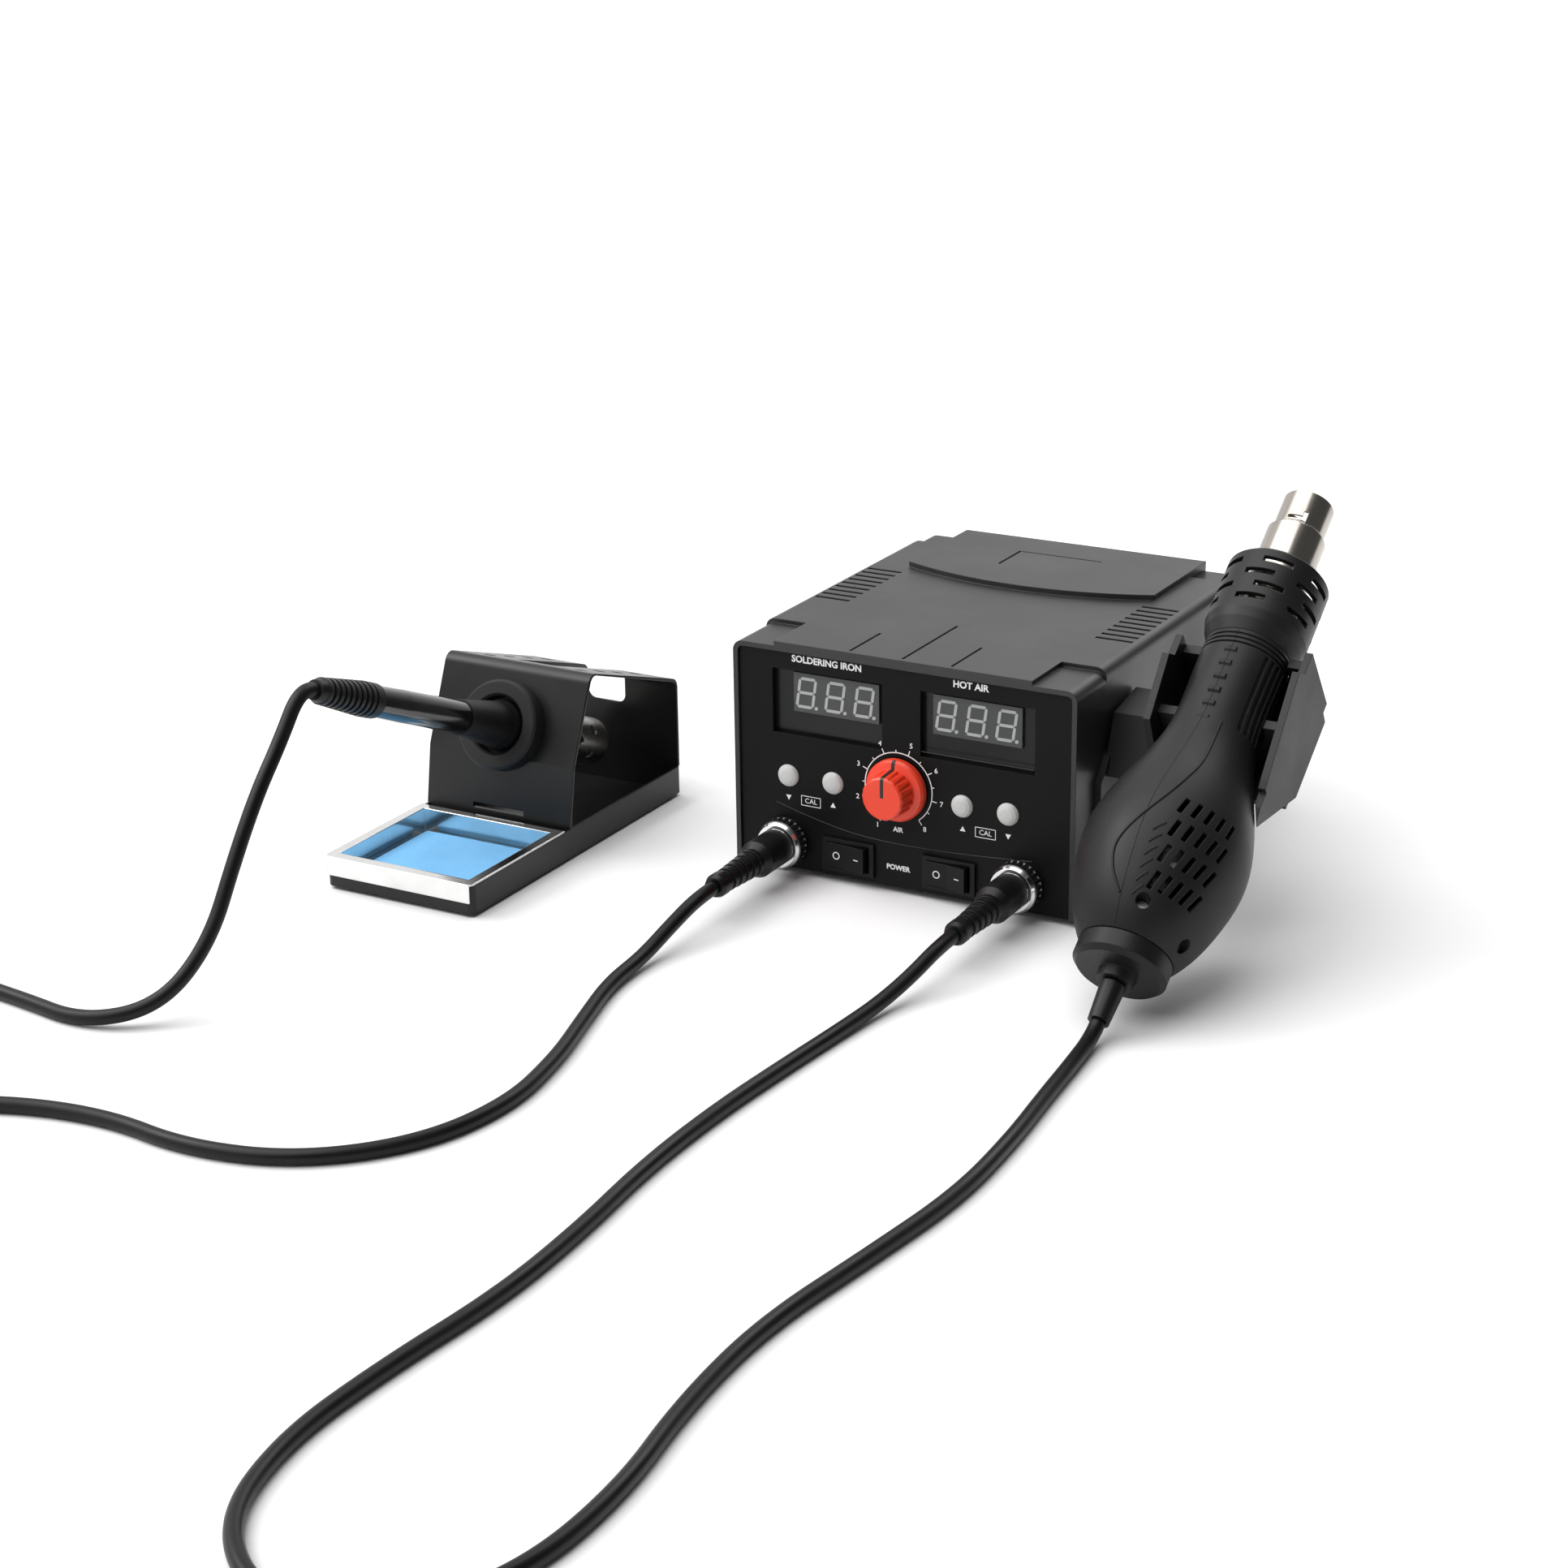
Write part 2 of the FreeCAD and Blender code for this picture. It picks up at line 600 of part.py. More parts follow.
def capacitors():
    """Round cans and a relay block on the power board."""
    z = POWER_Z + BOARD_T
    cans = [rod(8.0, (8, y, z), (8, y, z + 25)) for y in (-30, -8)]
    return group(cans + [block(30, 58, -40, -24, z, z + 15)])


SOCKET_NECK = 7.0
PIN_D = 12.4
INLET_X = -38.0
INLET_Z = 50.0
INLET_W = 27.4
INLET_H = 31.6
DRAWER_W = 22.0
DRAWER_H = 8.0
DRAWER_Z = INLET_Z - 10.0
CORE_X = -42.0
CORE_Y = 10.0
CORE_W = 56.0
CORE_H = 46.0
CORE_T = 24.0


# ---------------------------------------------------------------- iron stand
STAND_LEFT = STAND_X - STAND_W / 2
STAND_RIGHT = STAND_X + STAND_W / 2
STAND_REAR = STAND_FRONT + STAND_L
HOLDER_FOOT_Y = STAND_FRONT + 73.0
HOLDER_FOLD_Y = HOLDER_FOOT_Y + 4.5
LEAN = math.tan(math.radians(HOLDER_TILT))
HOLDER_TOP_Y = HOLDER_FOLD_Y + (HOLDER_TOP_Z - HOLDER_FOLD_Z) * LEAN
HOLDER_REAR_Y = STAND_REAR - SHEET - CLEAR
BUSH_Y = HOLDER_FOLD_Y + (BUSH_Z - HOLDER_FOLD_Z) * LEAN
STAND_FOOT_T = 1.5


def rounded_edges(shape, radius, points):
    """Rounds the straight edges whose middles are nearest the given points."""
    edges = [min(shape.Edges, key=lambda e: (e.CenterOfMass - V(*p)).Length) for p in points]
    return shape.makeFillet(radius, edges)


def stand_base():
    """Folded pan with four low walls."""
    outer = block(STAND_LEFT, STAND_RIGHT, STAND_FRONT, STAND_REAR, STAND_FOOT_T, BASE_H)
    middle = (STAND_FOOT_T + BASE_H) / 2
    outer = rounded_edges(outer, STAND_CORNER_R, [(x, y, middle) for x in (STAND_LEFT, STAND_RIGHT)
                                                  for y in (STAND_FRONT, STAND_REAR)])
    inner = block(STAND_LEFT + SHEET, STAND_RIGHT - SHEET, STAND_FRONT + SHEET, STAND_REAR - SHEET,
                  STAND_FOOT_T + SHEET, BASE_H + 1)
    return outer.cut(inner)


def stand_feet():
    """Four thin rubber pads."""
    return group([rod(6.0, (x, y, 0), (x, y, STAND_FOOT_T))
                  for x in (STAND_LEFT + 12, STAND_RIGHT - 12)
                  for y in (STAND_FRONT + 14, STAND_REAR - 14)])


def holder_outline(offset):
    """Side view of the bent sheet, from the front foot over the top to the rear foot."""
    z0 = STAND_FOOT_T + SHEET
    c = math.cos(math.radians(HOLDER_TILT))
    return [
        (HOLDER_FOOT_Y + offset, z0),
        (HOLDER_FOOT_Y + offset, BASE_H - 2),
        (HOLDER_FOLD_Y + offset / c, HOLDER_FOLD_Z),
        (HOLDER_TOP_Y + offset, HOLDER_TOP_Z - offset),
        (HOLDER_REAR_Y - offset, HOLDER_REAR_Z - offset),
        (HOLDER_REAR_Y - offset, z0),
    ]


def iron_holder():
    """Bent sheet with open sides, a slotted top, tip holes and a mouth for the iron."""
    path = holder_outline(0.0) + holder_outline(SHEET)[::-1]
    wide = side_plate(path, STAND_LEFT, STAND_RIGHT)
    outside = holder_outline(0.0)[3:5]
    inside = holder_outline(SHEET)[3:5]
    wide = rounded_edges(wide, HOLDER_BEND_R, [(STAND_X, y, z) for y, z in outside])
    wide = rounded_edges(wide, HOLDER_BEND_R - SHEET, [(STAND_X, y, z) for y, z in inside])
    inside_x = SHEET + CLEAR
    trims = [block(STAND_LEFT - 1, STAND_LEFT + inside_x, STAND_FRONT, STAND_REAR, 0, BASE_H + CLEAR),
             block(STAND_RIGHT - inside_x, STAND_RIGHT + 1, STAND_FRONT, STAND_REAR, 0, BASE_H + CLEAR)]
    h = SLOT_W / 2
    slot_front = HOLDER_TOP_Y + 14.0
    slot_low = HOLDER_REAR_Z - 15
    slot = block(STAND_X - h, STAND_X + h, slot_front, STAND_REAR + 1, slot_low, HOLDER_TOP_Z + 5)
    slot = rounded_edges(slot, 4.0, [(STAND_X + x, (slot_front + STAND_REAR + 1) / 2, slot_low)
                                     for x in (-h, h)])
    holes = []
    slope = (HOLDER_TOP_Z - HOLDER_REAR_Z) / (HOLDER_REAR_Y - HOLDER_TOP_Y)
    for side in (-1, 1):
        for i in range(4):
            y = HOLDER_TOP_Y + 13.0 + 14.5 * i
            x = STAND_X + side * (STAND_W / 4 + h / 2)
            z = HOLDER_TOP_Z - slope * (y - HOLDER_TOP_Y)
            holes.append(rod(TIP_HOLE_D / 2, (x, y, z - 6), (x, y, z + 4)))
    mouth = iron_piece(Part.makeCylinder(BUSH_D / 2 - 4.0, 10, V(0, 0, -5)))
    low_slot = block_at(STAND_X, HOLDER_FOOT_Y, BASE_H + 3.0, 26, 10, 2.0)
    return wide.cut(trims + [slot, mouth, low_slot] + holes)


def iron_piece(shape):
    """Places a shape drawn along the iron's axis, zero at the holder's front face."""
    return leaned(shape, 90 - HOLDER_TILT, (STAND_X, BUSH_Y, BUSH_Z))


def holder_bushing():
    """Thick ring on the leaning plate with a stop for the iron's nose."""
    r = BUSH_D / 2
    profile = [(BUSH_STOP_BORE / 2, -SHEET - 0.6), (r - 4.1, -SHEET - 0.6), (r - 4.1, 0), (r, 0), (r, BUSH_L - 1),
               (r - 1, BUSH_L), (BUSH_BORE / 2 + 1, BUSH_L), (BUSH_BORE / 2, BUSH_L - 1), (BUSH_BORE / 2, 1.5),
               (BUSH_STOP_BORE / 2, 1.5)]
    return iron_piece(turned(profile))


def holder_guard():
    """Perforated tube that shields the hot barrel."""
    r = GUARD_D / 2
    tube = turned([(r - 1, -GUARD_L), (r, -GUARD_L), (r, -SHEET - 0.6), (r - 1, -SHEET - 0.6)])
    holes = []
    for row in range(5):
        for i in range(3):
            hole = Part.makeCylinder(2.2, 2 * r + 2, V(0, -r - 1, -12 - 11 * row), V(0, 1, 0))
            hole.rotate(V(0, 0, 0), V(0, 0, 1), 60 * i + 30 * (row % 2))
            holes.append(hole)
    return iron_piece(tube.cut(holes))


def sponge_tray():
    """Bright lift-out tray with a lip over the base and a well."""
    over = 0.8
    z0 = BASE_H + FIT
    front = STAND_FRONT - over - 0.1
    rear = STAND_FRONT + TRAY_L
    lip = block(STAND_LEFT, STAND_RIGHT, front, rear, z0, z0 + over)
    lip = rounded_edges(lip, STAND_CORNER_R, [(x, front, z0 + over / 2) for x in (STAND_LEFT, STAND_RIGHT)])
    skirt = block(STAND_LEFT + 1.2, STAND_RIGHT - 1.2, front, front + over, z0 - TRAY_LIP, z0 + over)
    wall = 0.8
    x0 = STAND_LEFT + TRAY_RIM
    x1 = STAND_RIGHT - TRAY_RIM
    y0 = STAND_FRONT + TRAY_RIM
    y1 = rear - TRAY_RIM
    well = block(x0, x1, y0, y1, z0 + over - TRAY_WELL, z0 + over)
    room = block(x0 + wall, x1 - wall, y0 + wall, y1 - wall, z0 + over - TRAY_WELL + wall, z0 + 5)
    return union([lip, skirt, well]).cut(room)


def sponge():
    """Cleaning sponge in the tray well."""
    gap = 0.8 + SPONGE_GAP
    z0 = BASE_H + FIT + 0.8 - TRAY_WELL + 0.8
    return block(STAND_LEFT + TRAY_RIM + gap, STAND_RIGHT - TRAY_RIM - gap, STAND_FRONT + TRAY_RIM + gap,
                 STAND_FRONT + TRAY_L - TRAY_RIM - gap, z0, z0 + SPONGE_T)


GUARD_D = 22.0


# ---------------------------------------------------------------- iron
NOSE_S = 1.5 + CLEAR
HANDLE_S = NOSE_S + NOSE_L
BOOT_S = HANDLE_S + HANDLE_L
IRON_END_S = BOOT_S + IRON_BOOT_L


def iron_nose():
    """Flared front of the grip that seats in the bushing."""
    r = NOSE_D / 2
    return iron_piece(turned([(0, NOSE_S), (r, NOSE_S), (r, NOSE_S + 4), (r - 1.0, NOSE_S + 7),
                              (HANDLE_D / 2 + 1, HANDLE_S - 6), (HANDLE_D / 2 + 0.6, HANDLE_S), (0, HANDLE_S)]))


def iron_handle():
    """Slim glossy grip."""
    r = HANDLE_D / 2
    return iron_piece(turned([(0, HANDLE_S), (r, HANDLE_S), (r, BOOT_S - 20), (r - 0.4, BOOT_S), (0, BOOT_S)]))


def iron_boot():
    """Ribbed strain relief at the back of the grip."""
    r = HANDLE_D / 2 + 0.3
    profile = [(0, BOOT_S), (r, BOOT_S), (r, BOOT_S + 5)]
    ribs = 9
    pitch = (IRON_BOOT_L - 9) / ribs
    for i in range(ribs):
        z = BOOT_S + 5 + i * pitch
        rib_r = r - 0.22 * i
        profile += [(rib_r - 1.0, z + 0.05), (rib_r - 1.0, z + pitch * 0.35), (rib_r, z + pitch * 0.4),
                    (rib_r, z + pitch)]
    profile += [(4.9, IRON_END_S - 3.5), (4.2, IRON_END_S), (0, IRON_END_S)]
    return iron_piece(turned(profile))


def iron_nut():
    """Knurled nut that holds the barrel."""
    r = BUSH_STOP_BORE / 2 - 1.0
    ring = turned([(0, -12), (r - 1, -12), (r, -11), (r, NOSE_S), (0, NOSE_S)])
    return iron_piece(ring)


def iron_barrel():
    """Stainless tube round the heater."""
    r = BARREL_D / 2
    return iron_piece(turned([(0, -TIP_REACH + 24), (r - 0.6, -TIP_REACH + 24), (r, -TIP_REACH + 26), (r, -12), (0, -12)]))


def iron_tip():
    """Conical bit."""
    z = -TIP_REACH
    return iron_piece(turned([(0, z), (0.4, z), (2.6, z + 12), (3.2, z + 14), (3.2, z + 24), (0, z + 24)]))


# ---------------------------------------------------------------- hot-air gun
def gun_piece(shape):
    """Places a shape drawn along the gun's axis, zero at the tail; local -Y looks up and forward."""
    return leaned(shape, -GUN_TILT, (GUN_X, GUN_TAIL_Y, GUN_TAIL_Z))


def gun_profile(inset):
    """Radius against distance from the tail for the moulded body, from cap to collar."""
    bulge = BULGE_D / 2
    neck = NECK_D / 2
    cap = CAP_D / 2
    points = [
        (cap + 0.3, CAP_L + CLEAR),
        (cap + 5.0, CAP_L + 8),
        (bulge - 2.6, BULGE_S - 18),
        (bulge, BULGE_S),
        (bulge - 2.2, BULGE_S + 15),
        (neck + 5.6, BULGE_S + 37),
        (neck + 0.8, NECK_S),
        (neck, NECK_S + 14),
        (neck, COLLAR_S),
    ]
    return [(r - inset, s) for r, s in points]


def gun_curve_solid(inset, s0, s1):
    """Solid of revolution with a smooth side through the profile points."""
    points = gun_profile(inset)
    curve = Part.BSplineCurve()
    curve.interpolate([V(r, 0, s) for r, s in points])
    side = curve.toShape()
    first = points[0]
    last = points[-1]
    wire = Part.Wire([
        Part.makeLine(V(0, 0, first[1]), V(first[0], 0, first[1])),
        side,
        Part.makeLine(V(last[0], 0, last[1]), V(0, 0, last[1])),
        Part.makeLine(V(0, 0, last[1]), V(0, 0, first[1])),
    ])
    solid = Part.Face(wire).revolve(V(0, 0, 0), V(0, 0, 1), 360)
    return solid.common(Part.makeCylinder(80, s1 - s0, V(0, 0, s0)))


def gun_body():
    """Hollow moulding before it is split, with vents, ribs, flutes and screw wells."""
    outer = gun_curve_solid(0.0, CAP_L + CLEAR, COLLAR_S)
    bumps = []
    for i in range(7):
        s = NECK_S - 6 + 6.6 * i
        bumps.append(rod(1.3, (-2.4, -NECK_D / 2 + 0.3, s), (2.4, -NECK_D / 2 + 0.3, s)))
    room = gun_curve_solid(GUN_WALL, CAP_L + CLEAR, COLLAR_S)
    wells = []
    drills = []
    for azimuth, s in ((20, 20.0), (80, 15.0)):
        radius = CAP_D / 2 + 3.0
        wells.append(around(Part.makeCylinder(4.2, 13, V(0, -radius + 11, s), V(0, -1, 0)), azimuth))
        drills.append(around(Part.makeCylinder(SCREW_HEAD_R + 0.2, 20, V(0, -radius + 4, s), V(0, -1, 0)), azimuth))
    shell = outer.fuse(bumps).cut(room)
    shell = shell.fuse([w.common(outer) for w in wells])
    return shell.cut(drills + gun_vents() + gun_grooves())


def around(shape, azimuth):
    """Turns a local shape about the gun's axis; 0 looks up and forward, 90 looks to +X."""
    copy = shape.copy()
    copy.rotate(V(0, 0, 0), V(0, 0, 1), azimuth)
    return copy


def gun_vents():
    """Grid of intake slots over the fan, on the outer front side."""
    cuts = []
    for row in range(4):
        for column in range(5):
            s = 28.0 + 10.5 * row
            slot = Part.makeBox(2.0, 14.0, 7.4, V(-1.0, -BULGE_D / 2 - 3, s - 3.7))
            slot.rotate(V(0, 0, s), V(0, 1, 0), 14)
            cuts.append(around(slot, 22 + 9.5 * column))
    return cuts


def gun_grooves():
    """Fine rings under the collar and long flutes on the outer side of the neck."""
    r = NECK_D / 2
    cuts = []
    for i in range(3):
        s = COLLAR_S - 2.6 - 2.2 * i
        cuts.append(Part.makeCylinder(r + 2, 0.9, V(0, 0, s)).cut(Part.makeCylinder(r - 0.6, 3, V(0, 0, s - 1))))
    for i in range(4):
        flute = Part.makeBox(1.8, 1.6, 36.0, V(-0.9, -r - 0.8, NECK_S))
        cuts.append(around(flute, 48 + 11 * i))
    return cuts


def gun_shell(body, side):
    """Left or right half of the moulding; side is -1 or 1."""
    half = block(0.03, 80, -80, 80, -10, 260)
    if side < 0:
        half = block(-80, -0.03, -80, 80, -10, 260)
    return gun_piece(body.common(half))


def gun_screws():
    """Two screws at the bottoms of their wells."""
    screws = []
    for azimuth, s in ((20, 20.0), (80, 15.0)):
        radius = CAP_D / 2 + 3.0
        head = Part.makeCylinder(SCREW_HEAD_R, 2.0, V(0, -radius + 4, s), V(0, -1, 0))
        screws.append(gun_piece(around(head, azimuth)))
    return group(screws)


def gun_collar():
    """Slotted ring over the hot end, closed by a shoulder below."""
    r = COLLAR_D / 2
    inner = TUBE_D / 2 + 4.5
    neck = NECK_D / 2
    s1 = COLLAR_S + COLLAR_L
    profile = [(inner - 1.0, COLLAR_S + CLEAR / 2), (neck, COLLAR_S + CLEAR / 2), (r - 1.2, COLLAR_S + 5), (r, COLLAR_S + 9),
               (r, s1 - 1.5), (r - 1.5, s1), (inner, s1), (inner, s1 - 2), (r - 2.2, s1 - 4),
               (r - 2.2, COLLAR_S + 9), (inner - 1.0, COLLAR_S + 3)]
    ring = turned(profile)
    cuts = []
    for row in range(4):
        for i in range(6):
            slot = arc_slot(r, COLLAR_S + 13 + 6.2 * row, 2.6, 34)
            cuts.append(around(slot, 60 * i + 16 * (row % 2)))
    return gun_piece(ring.cut(cuts))


def arc_slot(radius, s, height, degrees):
    """A cutter that takes an arc out of a ring's wall."""
    outer = Part.makeCylinder(radius + 2, height, V(0, 0, s), V(0, 0, 1), degrees)
    inner = Part.makeCylinder(radius - 3.4, height, V(0, 0, s), V(0, 0, 1), degrees)
    slot = outer.cut(inner)
    slot.rotate(V(0, 0, 0), V(0, 0, 1), -90 - degrees / 2)
    return slot


def gun_tube():
    """Steel shroud with a flange held in the shells' mouth and a rolled lip."""
    r = TUBE_D / 2
    foot = NECK_D / 2 - GUN_WALL - CLEAR / 2
    bore = NOZZLE_D / 2 + 0.1
    return gun_piece(turned([(r - 0.8, COLLAR_S - 12), (foot, COLLAR_S - 12), (foot, COLLAR_S - 10), (r, COLLAR_S - 10),
                             (r, TUBE_S - 1), (r - 1, TUBE_S), (bore, TUBE_S), (bore, TUBE_S - 5),
                             (r - 0.8, TUBE_S - 6)]))


def gun_nozzle():
    """Steel outlet with a bayonet slot that opens at the step to the shroud."""
    r = NOZZLE_D / 2
    step = TUBE_S + 1
    tube = turned([(r - 0.8, TUBE_S - 12), (r - 0.2, TUBE_S - 12), (r - 0.2, step), (r, step),
                   (r, NOZZLE_S), (r - 0.8, NOZZLE_S)])
    up = Part.makeBox(BAYONET_W, 5, BAYONET_L, V(-BAYONET_W / 2, -r - 2, step))
    across = arc_slot(r, step + BAYONET_W / 2, BAYONET_W, 40)
    across.rotate(V(0, 0, 0), V(0, 0, 1), -18)
    return gun_piece(tube.cut([around(up, 24), around(across, 24)]))


def gun_heater():
    """Ceramic heater core on a disc across the tube's foot."""
    return gun_piece(turned([(0, COLLAR_S - 14.3), (14.0, COLLAR_S - 14.3), (14.0, COLLAR_S - 12.3), (9.0, COLLAR_S - 12.3),
                             (9.0, TUBE_S - 8), (0, TUBE_S - 8)]))


def gun_motor():
    """Motor can on a spider that spans the body behind the fan."""
    s = MOTOR_S
    can = Part.makeCylinder(11.0, 22.0, V(0, 0, s))
    reach = BULGE_D / 2 - GUN_WALL - 3.4
    arms = []
    for angle in (0, 120, 240):
        arms.append(around(Part.makeBox(6, reach, 2.5, V(-3, -reach, s + 2)), angle + 30))
    pin = Part.makeCylinder(1.5, 14, V(0, 0, s + 20))
    return gun_piece(union([can, pin] + arms))


def gun_fan():
    """Bladed wheel on the motor's pin."""
    s = MOTOR_S + 22.6
    hub = Part.makeCylinder(8.0, 10.0, V(0, 0, s))
    blades = []
    for i in range(9):
        blade = Part.makeBox(1.4, 20.0, 9.0, V(-0.7, 5.0, s + 0.5))
        blade.rotate(V(0, 0, s + 5), V(0, 1, 0), 24)
        blade.rotate(V(0, 0, 0), V(0, 0, 1), 40 * i)
        blades.append(blade)
    wheel = union([hub] + blades).cut(Part.makeCylinder(1.55, 30, V(0, 0, s - 5)))
    return gun_piece(wheel)


def gun_end_cap():
    """Round cap at the tail with a raised boss round the cord exit."""
    r = CAP_D / 2
    return gun_piece(turned([(BOOT_NECK_R + 0.05, -4), (7.0, -4), (7.6, 0), (r - 2, 0), (r, 2.0), (r, CAP_L),
                             (r - 2, CAP_L), (r - 2, 3), (BOOT_NECK_R + 0.05, 3)]))


def gun_boot():
    """Soft sleeve round the cord where it leaves the cap."""
    end = -GUN_BOOT_L - 4
    return gun_piece(turned([(0, end), (4.2, end), (5.0, -5), (BOOT_NECK_R, -4), (BOOT_NECK_R, 3), (6.2, 3), (6.2, 5), (0, 5)]))


# ---------------------------------------------------------------- cradle on the right wall
def gun_cradle():
    """Wall pad, arm, and a U-shaped saddle between two side plates."""
    half = JAW_SPAN / 2
    wall_x = CASE_W / 2
    top_s = COLLAR_S - CLEAR
    low_s = top_s - JAW_L
    neck = NECK_D / 2 + 0.5
    back = neck + 3.5
    shelf = block(-half, half, -2, back + 3, top_s - 4, top_s)
    low_shelf = block(-half, half, -2, back + 3, low_s, low_s + 4)
    floor = block(-half, half, back, back + 3, low_s - 18, top_s)
    jaws = [block(side * half - (JAW_T if side > 0 else 0), side * half + (JAW_T if side < 0 else 0),
                  -8, back + 3, low_s, top_s) for side in (-1, 1)]
    saddle = union([shelf, low_shelf, floor] + jaws)
    channel = Part.makeCylinder(neck, 200, V(0, 0, 60))
    mouth = block(-neck, neck, -60, 0, 60, 260)
    collar_room = turned([(0, COLLAR_S - 0.3), (NECK_D / 2 + 0.3, COLLAR_S - 0.3), (COLLAR_D / 2 + 1, COLLAR_S + 8), (0, COLLAR_S + 8)])
    saddle = gun_piece(saddle.cut([channel, mouth, collar_room]))
    keep_out = gun_piece(gun_curve_solid(-0.8, CAP_L + CLEAR, COLLAR_S).fuse(
        [block(-BULGE_D / 2 - 1, BULGE_D / 2 + 1, -90, 0, 10, 90)]))
    outer = side_plate([(-62, 112), (-42, 104), (-30, 82), (-60, 60), (-104, 62), (-92, 78)],
                       GUN_X + half - JAW_T, GUN_X + half)
    inner = side_plate([(-62, 112), (-42, 104), (-30, 82), (-48, 66), (-74, 76), (-80, 90)],
                       GUN_X - half, GUN_X - half + JAW_T)
    arm = side_plate([(-66, 58), (-28, 44), (-22, 60), (-34, 86), (-56, 82)], wall_x + 1, GUN_X - half + 1)
    pad = side_plate([(-72, 22), (-26, 22), (-20, 62), (-30, 74), (-64, 66), (-72, 56)], wall_x, wall_x + 3)
    return union([saddle, outer.cut(keep_out), inner.cut(keep_out), arm.cut(keep_out), pad])


SCREW_HEAD_R = 2.6
MOTOR_S = 34.0
BOOT_NECK_R = 4.0


# ---------------------------------------------------------------- cords
R = CORD_D / 2
PLUG_END_Y = PANEL_FACE - PLUG_REACH
IRON_OUT = (0.0, -math.cos(math.radians(HOLDER_TILT)), math.sin(math.radians(HOLDER_TILT)))
GUN_OUT = (0.0, -math.sin(math.radians(GUN_TILT)), -math.cos(math.radians(GUN_TILT)))


def iron_cord_route():
    """From the left plug over the bench, out to the left, and up to the iron."""
    y0 = BUSH_Y + IRON_END_S * IRON_OUT[1]
    z0 = BUSH_Z + IRON_END_S * IRON_OUT[2]
    return [
        (SOCKET_X[0], PLUG_END_Y, SOCKET_Z), (SOCKET_X[0], PLUG_END_Y - 13, SOCKET_Z), (-55, -182, 10),
        (-56, -202, 4), (-55, -228, R), (-46, -260, R),
        (-36, -294, R), (-30, -334, R), (-40, -374, R), (-70, -404, R), (-110, -414, R), (-150, -408, R),
        (-190, -416, R), (-228, -438, R), (-270, -450, R), (-310, -436, R), (-332, -400, R), (-322, -360, R),
        (-288, -340, R), (-248, -344, R), (-212, -350, R), (-188, -334, 8), (-180, -312, 27),
        (STAND_X, -293, 56), (STAND_X, -277, 77), (STAND_X, -262, 92),
        (STAND_X, y0 + 9.0 * IRON_OUT[1], z0 + 9.0 * IRON_OUT[2]), (STAND_X, y0, z0),
    ]


def air_cord_route():
    """From the right plug, in one long slack bend over the bench, and back to the gun's tail."""
    s = GUN_BOOT_L + 4
    y0 = GUN_TAIL_Y + s * GUN_OUT[1]
    z0 = GUN_TAIL_Z + s * GUN_OUT[2]
    return [
        (SOCKET_X[1], PLUG_END_Y, SOCKET_Z), (SOCKET_X[1], PLUG_END_Y - 13, SOCKET_Z), (51, -180, 9),
        (47, -200, 4), (44, -228, R), (41, -262, R), (38, -304, R), (38, -352, R), (43, -402, R),
        (44, -450, R), (38, -500, R), (36, -548, R), (48, -590, R), (80, -614, R), (115, -604, R),
        (134, -570, R), (136, -524, R), (128, -476, R), (126, -426, R), (134, -374, R), (141, -322, R),
        (139, -276, R), (135, -240, R), (132.5, -212, R + 0.2),
        (GUN_X, y0 + 7.0 * GUN_OUT[1], z0 + 7.0 * GUN_OUT[2]), (GUN_X, y0, z0),
    ]


def cord_tube(points):
    """Straight runs joined by tangent arcs; prints each bend radius and the length."""
    corners = [V(*p) for p in points]
    edges = []
    radii = []
    here = corners[0]
    for before, corner, after in zip(corners, corners[1:], corners[2:]):
        back = before - corner
        ahead = after - corner
        reach = 0.45 * min(back.Length, ahead.Length)
        half = (math.pi - back.getAngle(ahead)) / 2
        radius = reach / math.tan(half)
        start = corner + V(back).normalize() * reach
        end = corner + V(ahead).normalize() * reach
        inward = (V(back).normalize() + V(ahead).normalize()).normalize()
        middle = corner + inward * (radius / math.cos(half) - radius)
        edges.append(Part.LineSegment(here, start).toShape())
        edges.append(Part.Arc(start, middle, end).toShape())
        radii.append(round(radius, 1))
        here = end
    edges.append(Part.LineSegment(here, corners[-1]).toShape())
    path = Part.Wire(edges)
    first = corners[1] - corners[0]
    section = Part.Wire([Part.makeCircle(R, corners[0], first)])
    tube = path.makePipeShell([section], True, False)
    ideal = math.pi * R * R * path.Length
    print("cord length", round(path.Length, 1), "volume ratio", round(tube.Volume / ideal, 5), "radii", radii)
    return tube


